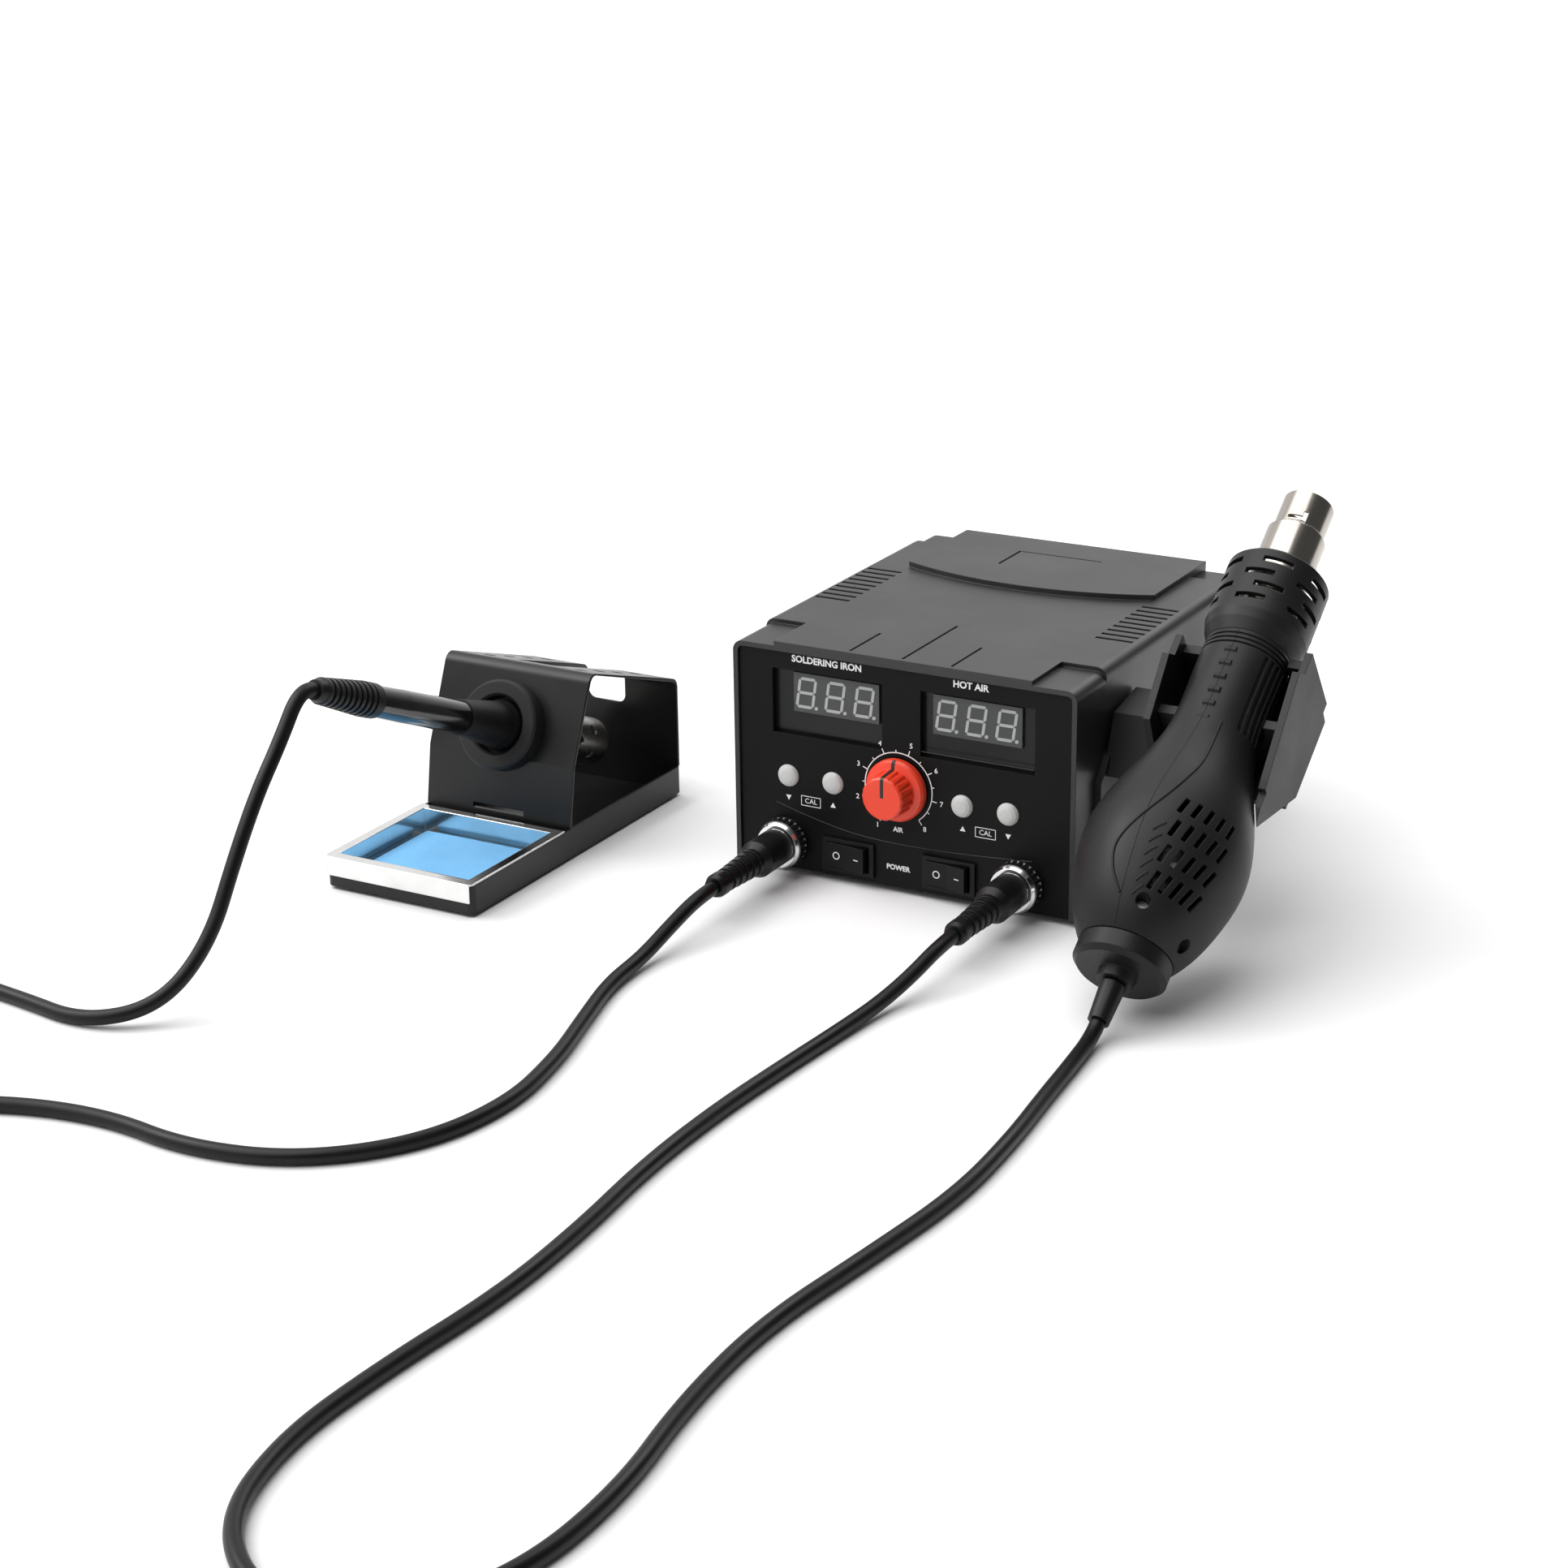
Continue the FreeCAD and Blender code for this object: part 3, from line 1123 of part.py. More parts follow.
# ---------------------------------------------------------------- assembly
def build():
    """Every named piece, drawn about the middle of the case."""
    body = gun_body()
    nodes = {
        "base_pan": base_pan(),
        "top_cover": top_cover(),
        "front_panel": front_panel(),
        "rear_panel": rear_panel(),
        "display_windows": display_windows(),
        "display_modules": display_modules(),
        "front_board": front_board(),
        "tact_switches": tact_switches(),
        "potentiometer": potentiometer(),
        "rocker_frames": rocker_frames(),
        "panel_sockets": panel_sockets(),
        "socket_nuts": socket_nuts(),
        "power_board": power_board(),
        "transformer_core": transformer_core(),
        "transformer_winding": transformer_winding(),
        "heatsink": heatsink(),
        "capacitors": capacitors(),
        "mains_inlet": mains_inlet(),
        "fuse_drawer": fuse_drawer(),
        "station_feet": station_feet(),
        "case_screws": case_screws(),
        "speed_knob": speed_knob(),
        "knob_shaft": knob_shaft(),
        "iron_rocker": rocker(ROCKER_X[0]),
        "air_rocker": rocker(ROCKER_X[1]),
        "gun_cradle": gun_cradle(),
        "stand_base": stand_base(),
        "stand_feet": stand_feet(),
        "iron_holder": iron_holder(),
        "holder_bushing": holder_bushing(),
        "holder_guard": holder_guard(),
        "sponge_tray": sponge_tray(),
        "sponge": sponge(),
        "iron_nose": iron_nose(),
        "iron_handle": iron_handle(),
        "iron_boot": iron_boot(),
        "iron_nut": iron_nut(),
        "iron_barrel": iron_barrel(),
        "iron_tip": iron_tip(),
        "gun_shell_left": gun_shell(body, -1),
        "gun_shell_right": gun_shell(body, 1),
        "gun_collar": gun_collar(),
        "gun_tube": gun_tube(),
        "gun_nozzle": gun_nozzle(),
        "gun_heater": gun_heater(),
        "gun_motor": gun_motor(),
        "gun_fan": gun_fan(),
        "gun_end_cap": gun_end_cap(),
        "gun_boot": gun_boot(),
        "gun_screws": gun_screws(),
        "iron_cord": cord_tube(iron_cord_route()),
        "air_cord": cord_tube(air_cord_route()),
    }
    names = ("button_iron_down", "button_iron_up", "button_air_up", "button_air_down")
    for name, x in zip(names, BUTTON_X):
        nodes[name] = button(x)
    for name, x in zip(("iron_plug", "air_plug"), SOCKET_X):
        nodes[name] = group([plug(x), plug_boot(x)])
        nodes[name + "_ring"] = plug_ring(x)
    return nodes


def ground_shift(nodes):
    """Vector that puts the origin under the middle of everything but the cords and plugs."""
    box = FreeCAD.BoundBox()
    for name, shape in nodes.items():
        if name.endswith(("_cord", "_plug", "_plug_ring")):
            continue
        box.add(shape.optimalBoundingBox(False))
    return V(-(box.XMin + box.XMax) / 2, -(box.YMin + box.YMax) / 2, -box.ZMin)


def main():
    os.makedirs("parts", exist_ok=True)
    nodes = build()
    shift = ground_shift(nodes)
    print("shift", [round(c, 4) for c in shift], "nodes", len(nodes))
    for name, shape in nodes.items():
        shape.translate(shift)
        shape.exportStep("parts/" + name + ".step")


if __name__ == "__main__":
    main()
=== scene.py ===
"""Soldering station: finishes, cords, sponge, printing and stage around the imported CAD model."""
import math

import bmesh
import bpy
from bpy.props import FloatProperty, FloatVectorProperty, IntProperty, PointerProperty
from mathutils import Matrix, Vector, noise
from mathutils.bvhtree import BVHTree
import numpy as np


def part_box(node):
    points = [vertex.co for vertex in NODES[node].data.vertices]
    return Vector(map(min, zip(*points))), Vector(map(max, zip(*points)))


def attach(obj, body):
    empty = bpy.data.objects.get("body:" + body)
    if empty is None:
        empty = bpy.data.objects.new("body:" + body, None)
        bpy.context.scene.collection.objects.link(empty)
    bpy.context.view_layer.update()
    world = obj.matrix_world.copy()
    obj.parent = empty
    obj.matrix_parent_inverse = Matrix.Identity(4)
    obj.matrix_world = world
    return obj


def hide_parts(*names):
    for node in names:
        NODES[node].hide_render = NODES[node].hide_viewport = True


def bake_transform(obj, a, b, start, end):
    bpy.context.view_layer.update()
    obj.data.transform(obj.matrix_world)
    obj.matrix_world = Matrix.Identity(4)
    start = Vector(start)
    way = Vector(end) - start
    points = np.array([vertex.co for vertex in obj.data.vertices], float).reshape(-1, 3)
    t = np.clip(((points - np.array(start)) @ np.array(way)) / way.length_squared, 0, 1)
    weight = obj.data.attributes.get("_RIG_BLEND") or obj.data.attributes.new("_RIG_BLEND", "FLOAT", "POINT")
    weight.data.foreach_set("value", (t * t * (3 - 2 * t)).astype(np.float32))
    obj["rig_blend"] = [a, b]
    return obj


bl_info = {
    "name": "Soldering Station",
    "version": (1, 0, 0),
    "blender": (4, 5, 0),
    "location": "View3D > Sidebar > Station",
    "description": "Finishes a two-channel soldering station with its iron stand and hot-air gun",
    "category": "Object",
}

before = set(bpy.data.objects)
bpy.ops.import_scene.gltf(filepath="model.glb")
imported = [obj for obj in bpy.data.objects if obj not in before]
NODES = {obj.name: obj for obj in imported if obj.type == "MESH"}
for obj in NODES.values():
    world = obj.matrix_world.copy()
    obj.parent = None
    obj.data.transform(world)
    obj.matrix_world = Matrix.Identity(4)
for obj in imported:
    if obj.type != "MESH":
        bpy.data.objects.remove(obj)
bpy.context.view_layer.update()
MM = 0.001
WELD = 1e-6
COVER_LOW, COVER_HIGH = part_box("top_cover")
MIDDLE = Vector(((COVER_LOW.x + COVER_HIGH.x) / 2, (COVER_LOW.y + COVER_HIGH.y) / 2, 0.0))

# The front and rear panels, in millimetres from the middle of the case.
PANEL_FACE = -88.8
DIGITS_FACE = -87.2
DIGITS_X = (-31.0, 33.3)
DIGITS_Z = 80.5
DIAL = (-1.5, 46.5)
ROCKERS = (("iron_rocker", "iron_switch", -24.5), ("air_rocker", "air_switch", 22.0))
ROCKER_Z = 12.6
SOCKETS = (("iron_plug_ring", -54.0), ("air_plug_ring", 54.0))
SOCKET_Z = 15.0
RING_BORE_R = 10.2
BOOT_REACH = 10.35
REAR_FACE = 88.8

# The iron's axis in its holder and the gun's in its cradle.
IRON_LEAN = math.radians(23.0)
GUN_LEAN = math.radians(54.0)
GUN_TAIL = (130.0, -166.0, 20.0)

IRON_ROUTE = (
    (-54, -149.8, 15), (-54, -162.8, 15), (-55, -182, 10), (-56, -202, 4), (-55, -228, 3),
    (-46, -260, 3), (-36, -294, 3), (-30, -334, 3), (-40, -374, 3), (-70, -404, 3),
    (-110, -414, 3), (-150, -408, 3), (-190, -416, 3), (-228, -438, 3), (-270, -450, 3),
    (-310, -436, 3), (-332, -400, 3), (-322, -360, 3), (-288, -340, 3), (-248, -344, 3),
    (-212, -350, 3), (-188, -334, 8), (-180, -312, 27), (-180, -293, 56), (-180, -277, 77),
    (-180, -262, 92), (-180, -246.88, 110.14), (-180, -238.59, 106.62),
)
AIR_ROUTE = (
    (54, -149.8, 15), (54, -162.8, 15), (51, -180, 9), (47, -200, 4), (44, -228, 3),
    (41, -262, 3), (38, -304, 3), (38, -352, 3), (43, -402, 3), (44, -450, 3),
    (38, -500, 3), (36, -548, 3), (48, -590, 3), (80, -614, 3), (115, -604, 3),
    (134, -570, 3), (136, -524, 3), (128, -476, 3), (126, -426, 3), (134, -374, 3),
    (141, -322, 3), (139, -276, 3), (135, -240, 3), (132.5, -212, 3.2), (130, -188.65, 3.54),
    (130, -182.99, 7.66),
)
IRON_CORD_LOOSE = 0.30
AIR_CORD_LOOSE = 0.22

CAMERA_PLACE = (550.04, -1153.94, 488.03)
CAMERA_TURN = math.radians(29.61)
CAMERA_RISE = math.radians(20.11)
CAMERA_ROLL = math.radians(-0.877)
CAMERA_LENS = 71.74


def spot(x, y, z):
    """A point given in millimetres from the middle of the case, in the row frame."""
    return MIDDLE + Vector((x, y, z)) * MM


# ---------------------------------------------------------------- sizes and colours

class StationSizes(bpy.types.PropertyGroup):
    """Sizes of what is added to the CAD model."""
    cord: FloatProperty(name="Cord", description="Outside diameter of both cords", default=0.006,
                        subtype="DISTANCE", unit="LENGTH")
    cord_sides: IntProperty(name="Cord Sides", description="Flat sides round a cord", default=24, min=8)
    label: FloatProperty(name="Label", description="Letter size of the main labels", default=0.0040,
                         subtype="DISTANCE", unit="LENGTH")
    ink: FloatProperty(name="Ink", description="Thickness of printed marks", default=0.00006,
                       subtype="DISTANCE", unit="LENGTH")
    tick: FloatProperty(name="Tick", description="Length of a numbered tick on the dial", default=0.0024,
                        subtype="DISTANCE", unit="LENGTH")
    dial: FloatProperty(name="Dial", description="Radius of the line round the knob", default=0.0154,
                        subtype="DISTANCE", unit="LENGTH")
    digit: FloatProperty(name="Digit", description="Height of a display digit", default=0.0122,
                         subtype="DISTANCE", unit="LENGTH")
    crown: FloatProperty(name="Sponge Crown", description="Rise of the sponge at its middle", default=0.0007,
                         subtype="DISTANCE", unit="LENGTH")


class StationColours(bpy.types.PropertyGroup):
    """Colours of the main finishes."""
    case: FloatVectorProperty(name="Case", description="Moulded case", subtype="COLOR", size=3,
                              default=(0.011, 0.011, 0.0112), min=0, max=1)
    panel: FloatVectorProperty(name="Panel", description="Front panel", subtype="COLOR", size=3,
                               default=(0.0030, 0.0031, 0.0034), min=0, max=1)
    knob: FloatVectorProperty(name="Knob", description="Air flow knob", subtype="COLOR", size=3,
                              default=(0.80, 0.043, 0.012), min=0, max=1)
    sponge: FloatVectorProperty(name="Sponge", description="Cleaning sponge", subtype="COLOR", size=3,
                                default=(0.17, 0.43, 0.72), min=0, max=1)
    ink: FloatVectorProperty(name="Ink", description="Printed letters and marks", subtype="COLOR", size=3,
                             default=(0.80, 0.81, 0.80), min=0, max=1)


# ---------------------------------------------------------------- shared shader groups

def shader_group(name, inputs, outputs):
    """An empty shader group with named sockets, and its input and output nodes."""
    tree = bpy.data.node_groups.new(name, "ShaderNodeTree")
    for label, kind, value in inputs:
        socket = tree.interface.new_socket(label, in_out="INPUT", socket_type=kind)
        if value is not None:
            socket.default_value = value
    for label, kind in outputs:
        tree.interface.new_socket(label, in_out="OUTPUT", socket_type=kind)
    return tree, tree.nodes.new("NodeGroupInput"), tree.nodes.new("NodeGroupOutput")


def texture(tree, kind, vector, scale, detail=3.0):
    """A noise or cell texture with its own scale, fed by a vector socket."""
    node = tree.nodes.new(kind)
    tree.links.new(vector, node.inputs["Vector"])
    if isinstance(scale, (int, float)):
        node.inputs["Scale"].default_value = scale
    else:
        tree.links.new(scale, node.inputs["Scale"])
    if "Detail" in node.inputs:
        node.inputs["Detail"].default_value = detail
    return node


def ramp(tree, value, low, high, to_low=0.0, to_high=1.0):
    """A value stretched from one range to another and held there; ends may be sockets."""
    node = tree.nodes.new("ShaderNodeMapRange")
    tree.links.new(value, node.inputs["Value"])
    for label, end in (("From Min", low), ("From Max", high), ("To Min", to_low), ("To Max", to_high)):
        if isinstance(end, (int, float)):
            node.inputs[label].default_value = end
        else:
            tree.links.new(end, node.inputs[label])
    return node.outputs["Result"]


def sum_of(tree, operation, first, second):
    """One step of arithmetic on two values or sockets."""
    node = tree.nodes.new("ShaderNodeMath")
    node.operation = operation
    for socket, value in zip(node.inputs, (first, second)):
        if isinstance(value, (int, float)):
            socket.default_value = value
        else:
            tree.links.new(value, socket)
    return node.outputs[0]


def mixed(tree, share, first, second):
    """Two colours mixed by a share."""
    node = tree.nodes.new("ShaderNodeMix")
    node.data_type = "RGBA"
    tree.links.new(share, node.inputs["Factor"])
    for socket, value in ((node.inputs[6], first), (node.inputs[7], second)):
        if isinstance(value, (tuple, list)):
            socket.default_value = value
        else:
            tree.links.new(value, socket)
    return node.outputs[2]


def edge_group():
    """Softened corners and a broken mask of rubbed edges."""
    tree, enter, leave = shader_group(
        "Rubbed edges", [("Radius", "NodeSocketFloat", 0.0005), ("Wear", "NodeSocketFloat", 0.5)],
        [("Mask", "NodeSocketFloat"), ("Normal", "NodeSocketVector")])
    bevel = tree.nodes.new("ShaderNodeBevel")
    bevel.samples = 6
    tree.links.new(enter.outputs["Radius"], bevel.inputs["Radius"])
    plain = tree.nodes.new("ShaderNodeNewGeometry")
    dot = tree.nodes.new("ShaderNodeVectorMath")
    dot.operation = "DOT_PRODUCT"
    tree.links.new(bevel.outputs["Normal"], dot.inputs[0])
    tree.links.new(plain.outputs["Normal"], dot.inputs[1])
    edge = ramp(tree, dot.outputs["Value"], 0.995, 0.90)
    place = tree.nodes.new("ShaderNodeTexCoord")
    patch = texture(tree, "ShaderNodeTexNoise", place.outputs["Object"], 130.0)
    broken = ramp(tree, patch.outputs["Fac"], 0.42, 0.62)
    mask = sum_of(tree, "MULTIPLY", sum_of(tree, "MULTIPLY", edge, broken), enter.outputs["Wear"])
    tree.links.new(mask, leave.inputs["Mask"])
    tree.links.new(bevel.outputs["Normal"], leave.inputs["Normal"])
    return tree


def moulded_group():
    """Spark-eroded grain with a slow drift in tone and gloss and a little settled dust."""
    tree, enter, leave = shader_group(
        "Moulded grain",
        [("Color", "NodeSocketColor", None), ("Worn Color", "NodeSocketColor", None),
         ("Edge", "NodeSocketFloat", 0.0), ("Grain", "NodeSocketFloat", 1800.0),
         ("Smooth", "NodeSocketFloat", 0.4), ("Dull", "NodeSocketFloat", 0.6)],
        [("Color", "NodeSocketColor"), ("Roughness", "NodeSocketFloat"), ("Height", "NodeSocketFloat")])
    place = tree.nodes.new("ShaderNodeTexCoord").outputs["Object"]
    grain = texture(tree, "ShaderNodeTexNoise", place, enter.outputs["Grain"], 2.0)
    drift = texture(tree, "ShaderNodeTexNoise", place, 22.0, 4.0)
    specks = texture(tree, "ShaderNodeTexNoise", place, 900.0, 1.0)
    tone = ramp(tree, drift.outputs["Fac"], 0.3, 0.7, 0.0, 0.22)
    dusty = ramp(tree, specks.outputs["Fac"], 0.70, 0.80, 0.0, 0.35)
    base = mixed(tree, sum_of(tree, "MAXIMUM", tone, dusty), enter.outputs["Color"],
                 enter.outputs["Worn Color"])
    tree.links.new(mixed(tree, enter.outputs["Edge"], base, enter.outputs["Worn Color"]),
                   leave.inputs["Color"])
    tree.links.new(ramp(tree, drift.outputs["Fac"], 0.35, 0.65, enter.outputs["Smooth"],
                        enter.outputs["Dull"]), leave.inputs["Roughness"])
    tree.links.new(grain.outputs["Fac"], leave.inputs["Height"])
    return tree


def turned_group():
    """Fine lines left by turning, brushing or drawing a metal, across the first axis it is given."""
    tree, enter, leave = shader_group(
        "Drawn metal",
        [("Vector", "NodeSocketVector", None), ("Color", "NodeSocketColor", None),
         ("Stain", "NodeSocketColor", None), ("Smooth", "NodeSocketFloat", 0.2),
         ("Dull", "NodeSocketFloat", 0.4)],
        [("Color", "NodeSocketColor"), ("Roughness", "NodeSocketFloat"), ("Height", "NodeSocketFloat")])
    stretch = tree.nodes.new("ShaderNodeMapping")
    stretch.inputs["Scale"].default_value = (1.0, 1.0, 60.0)
    tree.links.new(enter.outputs["Vector"], stretch.inputs["Vector"])
    lines = texture(tree, "ShaderNodeTexNoise", stretch.outputs["Vector"], 60.0, 4.0)
    cloud = texture(tree, "ShaderNodeTexNoise", enter.outputs["Vector"], 45.0, 3.0)
    both = sum_of(tree, "ADD", sum_of(tree, "MULTIPLY", lines.outputs["Fac"], 0.6),
                  sum_of(tree, "MULTIPLY", cloud.outputs["Fac"], 0.4))
    tree.links.new(mixed(tree, ramp(tree, both, 0.4, 0.68), enter.outputs["Color"],
                         enter.outputs["Stain"]), leave.inputs["Color"])
    tree.links.new(ramp(tree, both, 0.35, 0.65, enter.outputs["Smooth"], enter.outputs["Dull"]),
                   leave.inputs["Roughness"])
    tree.links.new(lines.outputs["Fac"], leave.inputs["Height"])
    return tree


def group_node(tree, build, name):
    """Places a shared group in a material, building it the first time."""
    node = tree.nodes.new("ShaderNodeGroup")
    node.node_tree = bpy.data.node_groups.get(name) or build()
    return node


# ---------------------------------------------------------------- finishes

def blank(name, colour, metallic=0.0, coat=0.0, specular=0.5):
    """A new material and its shader, with what is even over the surface set on the shader."""
    material = bpy.data.materials.new(name)
    material.use_nodes = True
    shader = material.node_tree.nodes["Principled BSDF"]
    shader.inputs["Base Color"].default_value = (*colour, 1.0)
    shader.inputs["Metallic"].default_value = metallic
    shader.inputs["Coat Weight"].default_value = coat
    shader.inputs["Coat Roughness"].default_value = 0.12
    shader.inputs["Specular IOR Level"].default_value = specular
    return material, shader


def raised(tree, shader, height, distance, normal=None):
    """Sends a height through a bump to the shader."""
    bump = tree.nodes.new("ShaderNodeBump")
    bump.inputs["Strength"].default_value = 1.0
    bump.inputs["Distance"].default_value = distance
    tree.links.new(height, bump.inputs["Height"])
    if normal is not None:
        tree.links.new(normal, bump.inputs["Normal"])
    tree.links.new(bump.outputs["Normal"], shader.inputs["Normal"])


def moulded(name, colour, smooth, dull, worn=None, grain=1800.0, depth=0.00003, radius=0.0004,
            wear=0.35, coat=0.0, specular=0.5):
    """Plastic, rubber or paint with grain and rubbed edges."""
    if name in bpy.data.materials:
        return bpy.data.materials[name]
    material, shader = blank(name, colour, coat=coat, specular=specular)
    tree = material.node_tree
    worn = worn or tuple(min(1.0, 1.6 * part + 0.006) for part in colour)
    edges = group_node(tree, edge_group, "Rubbed edges")
    edges.inputs["Radius"].default_value = radius
    edges.inputs["Wear"].default_value = wear
    skin = group_node(tree, moulded_group, "Moulded grain")
    skin.inputs["Color"].default_value = (*colour, 1.0)
    skin.inputs["Worn Color"].default_value = (*worn, 1.0)
    skin.inputs["Grain"].default_value = grain
    skin.inputs["Smooth"].default_value = smooth
    skin.inputs["Dull"].default_value = dull
    tree.links.new(edges.outputs["Mask"], skin.inputs["Edge"])
    tree.links.new(skin.outputs["Color"], shader.inputs["Base Color"])
    tree.links.new(skin.outputs["Roughness"], shader.inputs["Roughness"])
    raised(tree, shader, skin.outputs["Height"], depth, edges.outputs["Normal"])
    return material


def metal(name, colour, stain, smooth, dull, turn=(0.0, 0.0, 0.0), depth=0.00001, radius=0.0003):
    """Bare metal with lines across one direction; turn brings that direction onto Z."""
    if name in bpy.data.materials:
        return bpy.data.materials[name]
    material, shader = blank(name, colour, metallic=1.0)
    tree = material.node_tree
    place = tree.nodes.new("ShaderNodeTexCoord")
    facing = tree.nodes.new("ShaderNodeMapping")
    facing.inputs["Rotation"].default_value = turn
    tree.links.new(place.outputs["Object"], facing.inputs["Vector"])
    edges = group_node(tree, edge_group, "Rubbed edges")
    edges.inputs["Radius"].default_value = radius
    skin = group_node(tree, turned_group, "Drawn metal")
    skin.inputs["Color"].default_value = (*colour, 1.0)
    skin.inputs["Stain"].default_value = (*stain, 1.0)
    skin.inputs["Smooth"].default_value = smooth
    skin.inputs["Dull"].default_value = dull
    tree.links.new(facing.outputs["Vector"], skin.inputs["Vector"])
    tree.links.new(skin.outputs["Color"], shader.inputs["Base Color"])
    tree.links.new(skin.outputs["Roughness"], shader.inputs["Roughness"])
    raised(tree, shader, skin.outputs["Height"], depth, edges.outputs["Normal"])
    return material


def board_finish():
    """Green solder mask with faint copper tracks under it."""
    name = "Circuit board"
    if name in bpy.data.materials:
        return bpy.data.materials[name]
    material, shader = blank(name, (0.01, 0.11, 0.04), coat=0.5)
    tree = material.node_tree
    place = tree.nodes.new("ShaderNodeTexCoord").outputs["Object"]
    tracks = tree.nodes.new("ShaderNodeTexBrick")
    tracks.inputs["Scale"].default_value = 90.0
    tracks.inputs["Mortar Size"].default_value = 0.035
    tracks.inputs["Color1"].default_value = (0.008, 0.09, 0.03, 1.0)
    tracks.inputs["Color2"].default_value = (0.012, 0.12, 0.045, 1.0)
    tracks.inputs["Mortar"].default_value = (0.03, 0.20, 0.07, 1.0)
    tree.links.new(place, tracks.inputs["Vector"])
    tree.links.new(tracks.outputs["Color"], shader.inputs["Base Color"])
    cloud = texture(tree, "ShaderNodeTexNoise", place, 60.0)
    tree.links.new(ramp(tree, cloud.outputs["Fac"], 0.3, 0.7, 0.22, 0.4), shader.inputs["Roughness"])
    raised(tree, shader, tracks.outputs["Fac"], 0.00003)
    return material


def sponge_finish(colour):
    """Open cellulose with pores of two sizes, the pores painted darker as shade in their hollows."""
    name = "Cleaning sponge"
    if name in bpy.data.materials:
        return bpy.data.materials[name]
    material, shader = blank(name, colour, specular=0.2)
    tree = material.node_tree
    place = tree.nodes.new("ShaderNodeTexCoord").outputs["Object"]
    large = texture(tree, "ShaderNodeTexVoronoi", place, 420.0)
    small = texture(tree, "ShaderNodeTexVoronoi", place, 1300.0)
    cloud = texture(tree, "ShaderNodeTexNoise", place, 70.0)
    pores = sum_of(tree, "MINIMUM", ramp(tree, large.outputs["Distance"], 0.16, 0.34),
                   ramp(tree, small.outputs["Distance"], 0.12, 0.36, 0.45, 1.0))
    # Painted shade: the pores take a darker colour, standing in for the shade that falls into their hollows.
    pore_shade = tuple(0.55 * part for part in colour)
    pale = tuple(min(1.0, 1.06 * part + 0.008) for part in colour)
    body = mixed(tree, ramp(tree, cloud.outputs["Fac"], 0.35, 0.65), (*colour, 1.0), (*pale, 1.0))
    tree.links.new(mixed(tree, pores, (*pore_shade, 1.0), body), shader.inputs["Base Color"])
    tree.links.new(ramp(tree, cloud.outputs["Fac"], 0.3, 0.7, 0.82, 0.97), shader.inputs["Roughness"])
    raised(tree, shader, pores, 0.0003)
    return material


def wear_finish(obj, *materials):
    """Gives an object these materials in place of its own."""
    obj.data.materials.clear()
    for material in materials:
        obj.data.materials.append(material)


def dress(material, *nodes):
    """Gives CAD nodes a finish."""
    for node in nodes:
        wear_finish(NODES[node], material)


# ---------------------------------------------------------------- meshes

def placed(name, data):
    """A new object in the scene."""
    obj = bpy.data.objects.new(name, data)
    bpy.context.scene.collection.objects.link(obj)
    return obj


def mesh_from(bm, name, outward=False):
    """The mesh that a bmesh holds, with its faces turned outwards if asked."""
    if outward:
        bmesh.ops.recalc_face_normals(bm, faces=bm.faces)
    mesh = bpy.data.meshes.new(name)
    bm.to_mesh(mesh)
    bm.free()
    return mesh


def piece(name, mesh, material, body):
    """A finished piece at the origin that rides on a body."""
    obj = placed(name, mesh)
    wear_finish(obj, material)
    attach(obj, body)
    return obj


def plain_mesh(data, name):
    """The mesh that a curve or text makes."""
    holder = placed(name, data)
    mesh = bpy.data.meshes.new_from_object(holder)
    bpy.data.objects.remove(holder)
    return mesh


def merged(name, meshes):
    """One mesh from several, with meeting points welded."""
    bm = bmesh.new()
    for mesh in meshes:
        bm.from_mesh(mesh)
    bmesh.ops.remove_doubles(bm, verts=bm.verts, dist=WELD)
    return mesh_from(bm, name)


def plate(points, thickness):
    """A flat shape in X and Y, thickened up Z."""
    bm = bmesh.new()
    face = bm.faces.new([bm.verts.new((x * MM, y * MM, 0.0)) for x, y in points])
    top = bmesh.ops.extrude_face_region(bm, geom=[face])
    moved = [part for part in top["geom"] if isinstance(part, bmesh.types.BMVert)]
    bmesh.ops.translate(bm, verts=moved, vec=(0.0, 0.0, thickness))
    return mesh_from(bm, "plate", outward=True)


def bar(x, y, width, height, thickness):
    """A thin rectangle centred at a point, in millimetres."""
    a, b = width / 2, height / 2
    return plate([(x - a, y - b), (x + a, y - b), (x + a, y + b), (x - a, y + b)], thickness)


def band(radius, width, start, sweep, thickness, steps=96):
    """Part of a flat ring, in millimetres and degrees."""
    outer = []
    inner = []
    for i in range(steps + 1):
        a = math.radians(start + sweep * i / steps)
        outer.append(((radius + width / 2) * math.cos(a), (radius + width / 2) * math.sin(a)))
        inner.append(((radius - width / 2) * math.cos(a), (radius - width / 2) * math.sin(a)))
    bm = bmesh.new()
    closed = sweep >= 360
    count = steps if closed else steps + 1
    rows = [[bm.verts.new((x * MM, y * MM, z)) for x, y in line[:count]]
            for z in (0.0, thickness) for line in (inner, outer)]
    for i in range(steps):
        j = (i + 1) % count
        for first, second in ((0, 1), (1, 3), (3, 2), (2, 0)):
            bm.faces.new((rows[first][i], rows[first][j], rows[second][j], rows[second][i]))
    if not closed:
        for i in (0, count - 1):
            bm.faces.new((rows[0][i], rows[1][i], rows[3][i], rows[2][i]))
    return mesh_from(bm, "band", outward=True)


def words(text, size, thickness, x=0.0, y=0.0, bold=0.03):
    """Flat raised lettering centred at a point in millimetres."""
    curve = bpy.data.curves.new(text, "FONT")
    curve.body = text
    curve.size = size
    curve.align_x = "CENTER"
    curve.align_y = "CENTER"
    curve.offset = bold * size
    curve.extrude = thickness / 2
    curve.resolution_u = 3
    mesh = plain_mesh(curve, text)
    mesh.transform(Matrix.Translation((x * MM, y * MM, thickness / 2)))
    return mesh


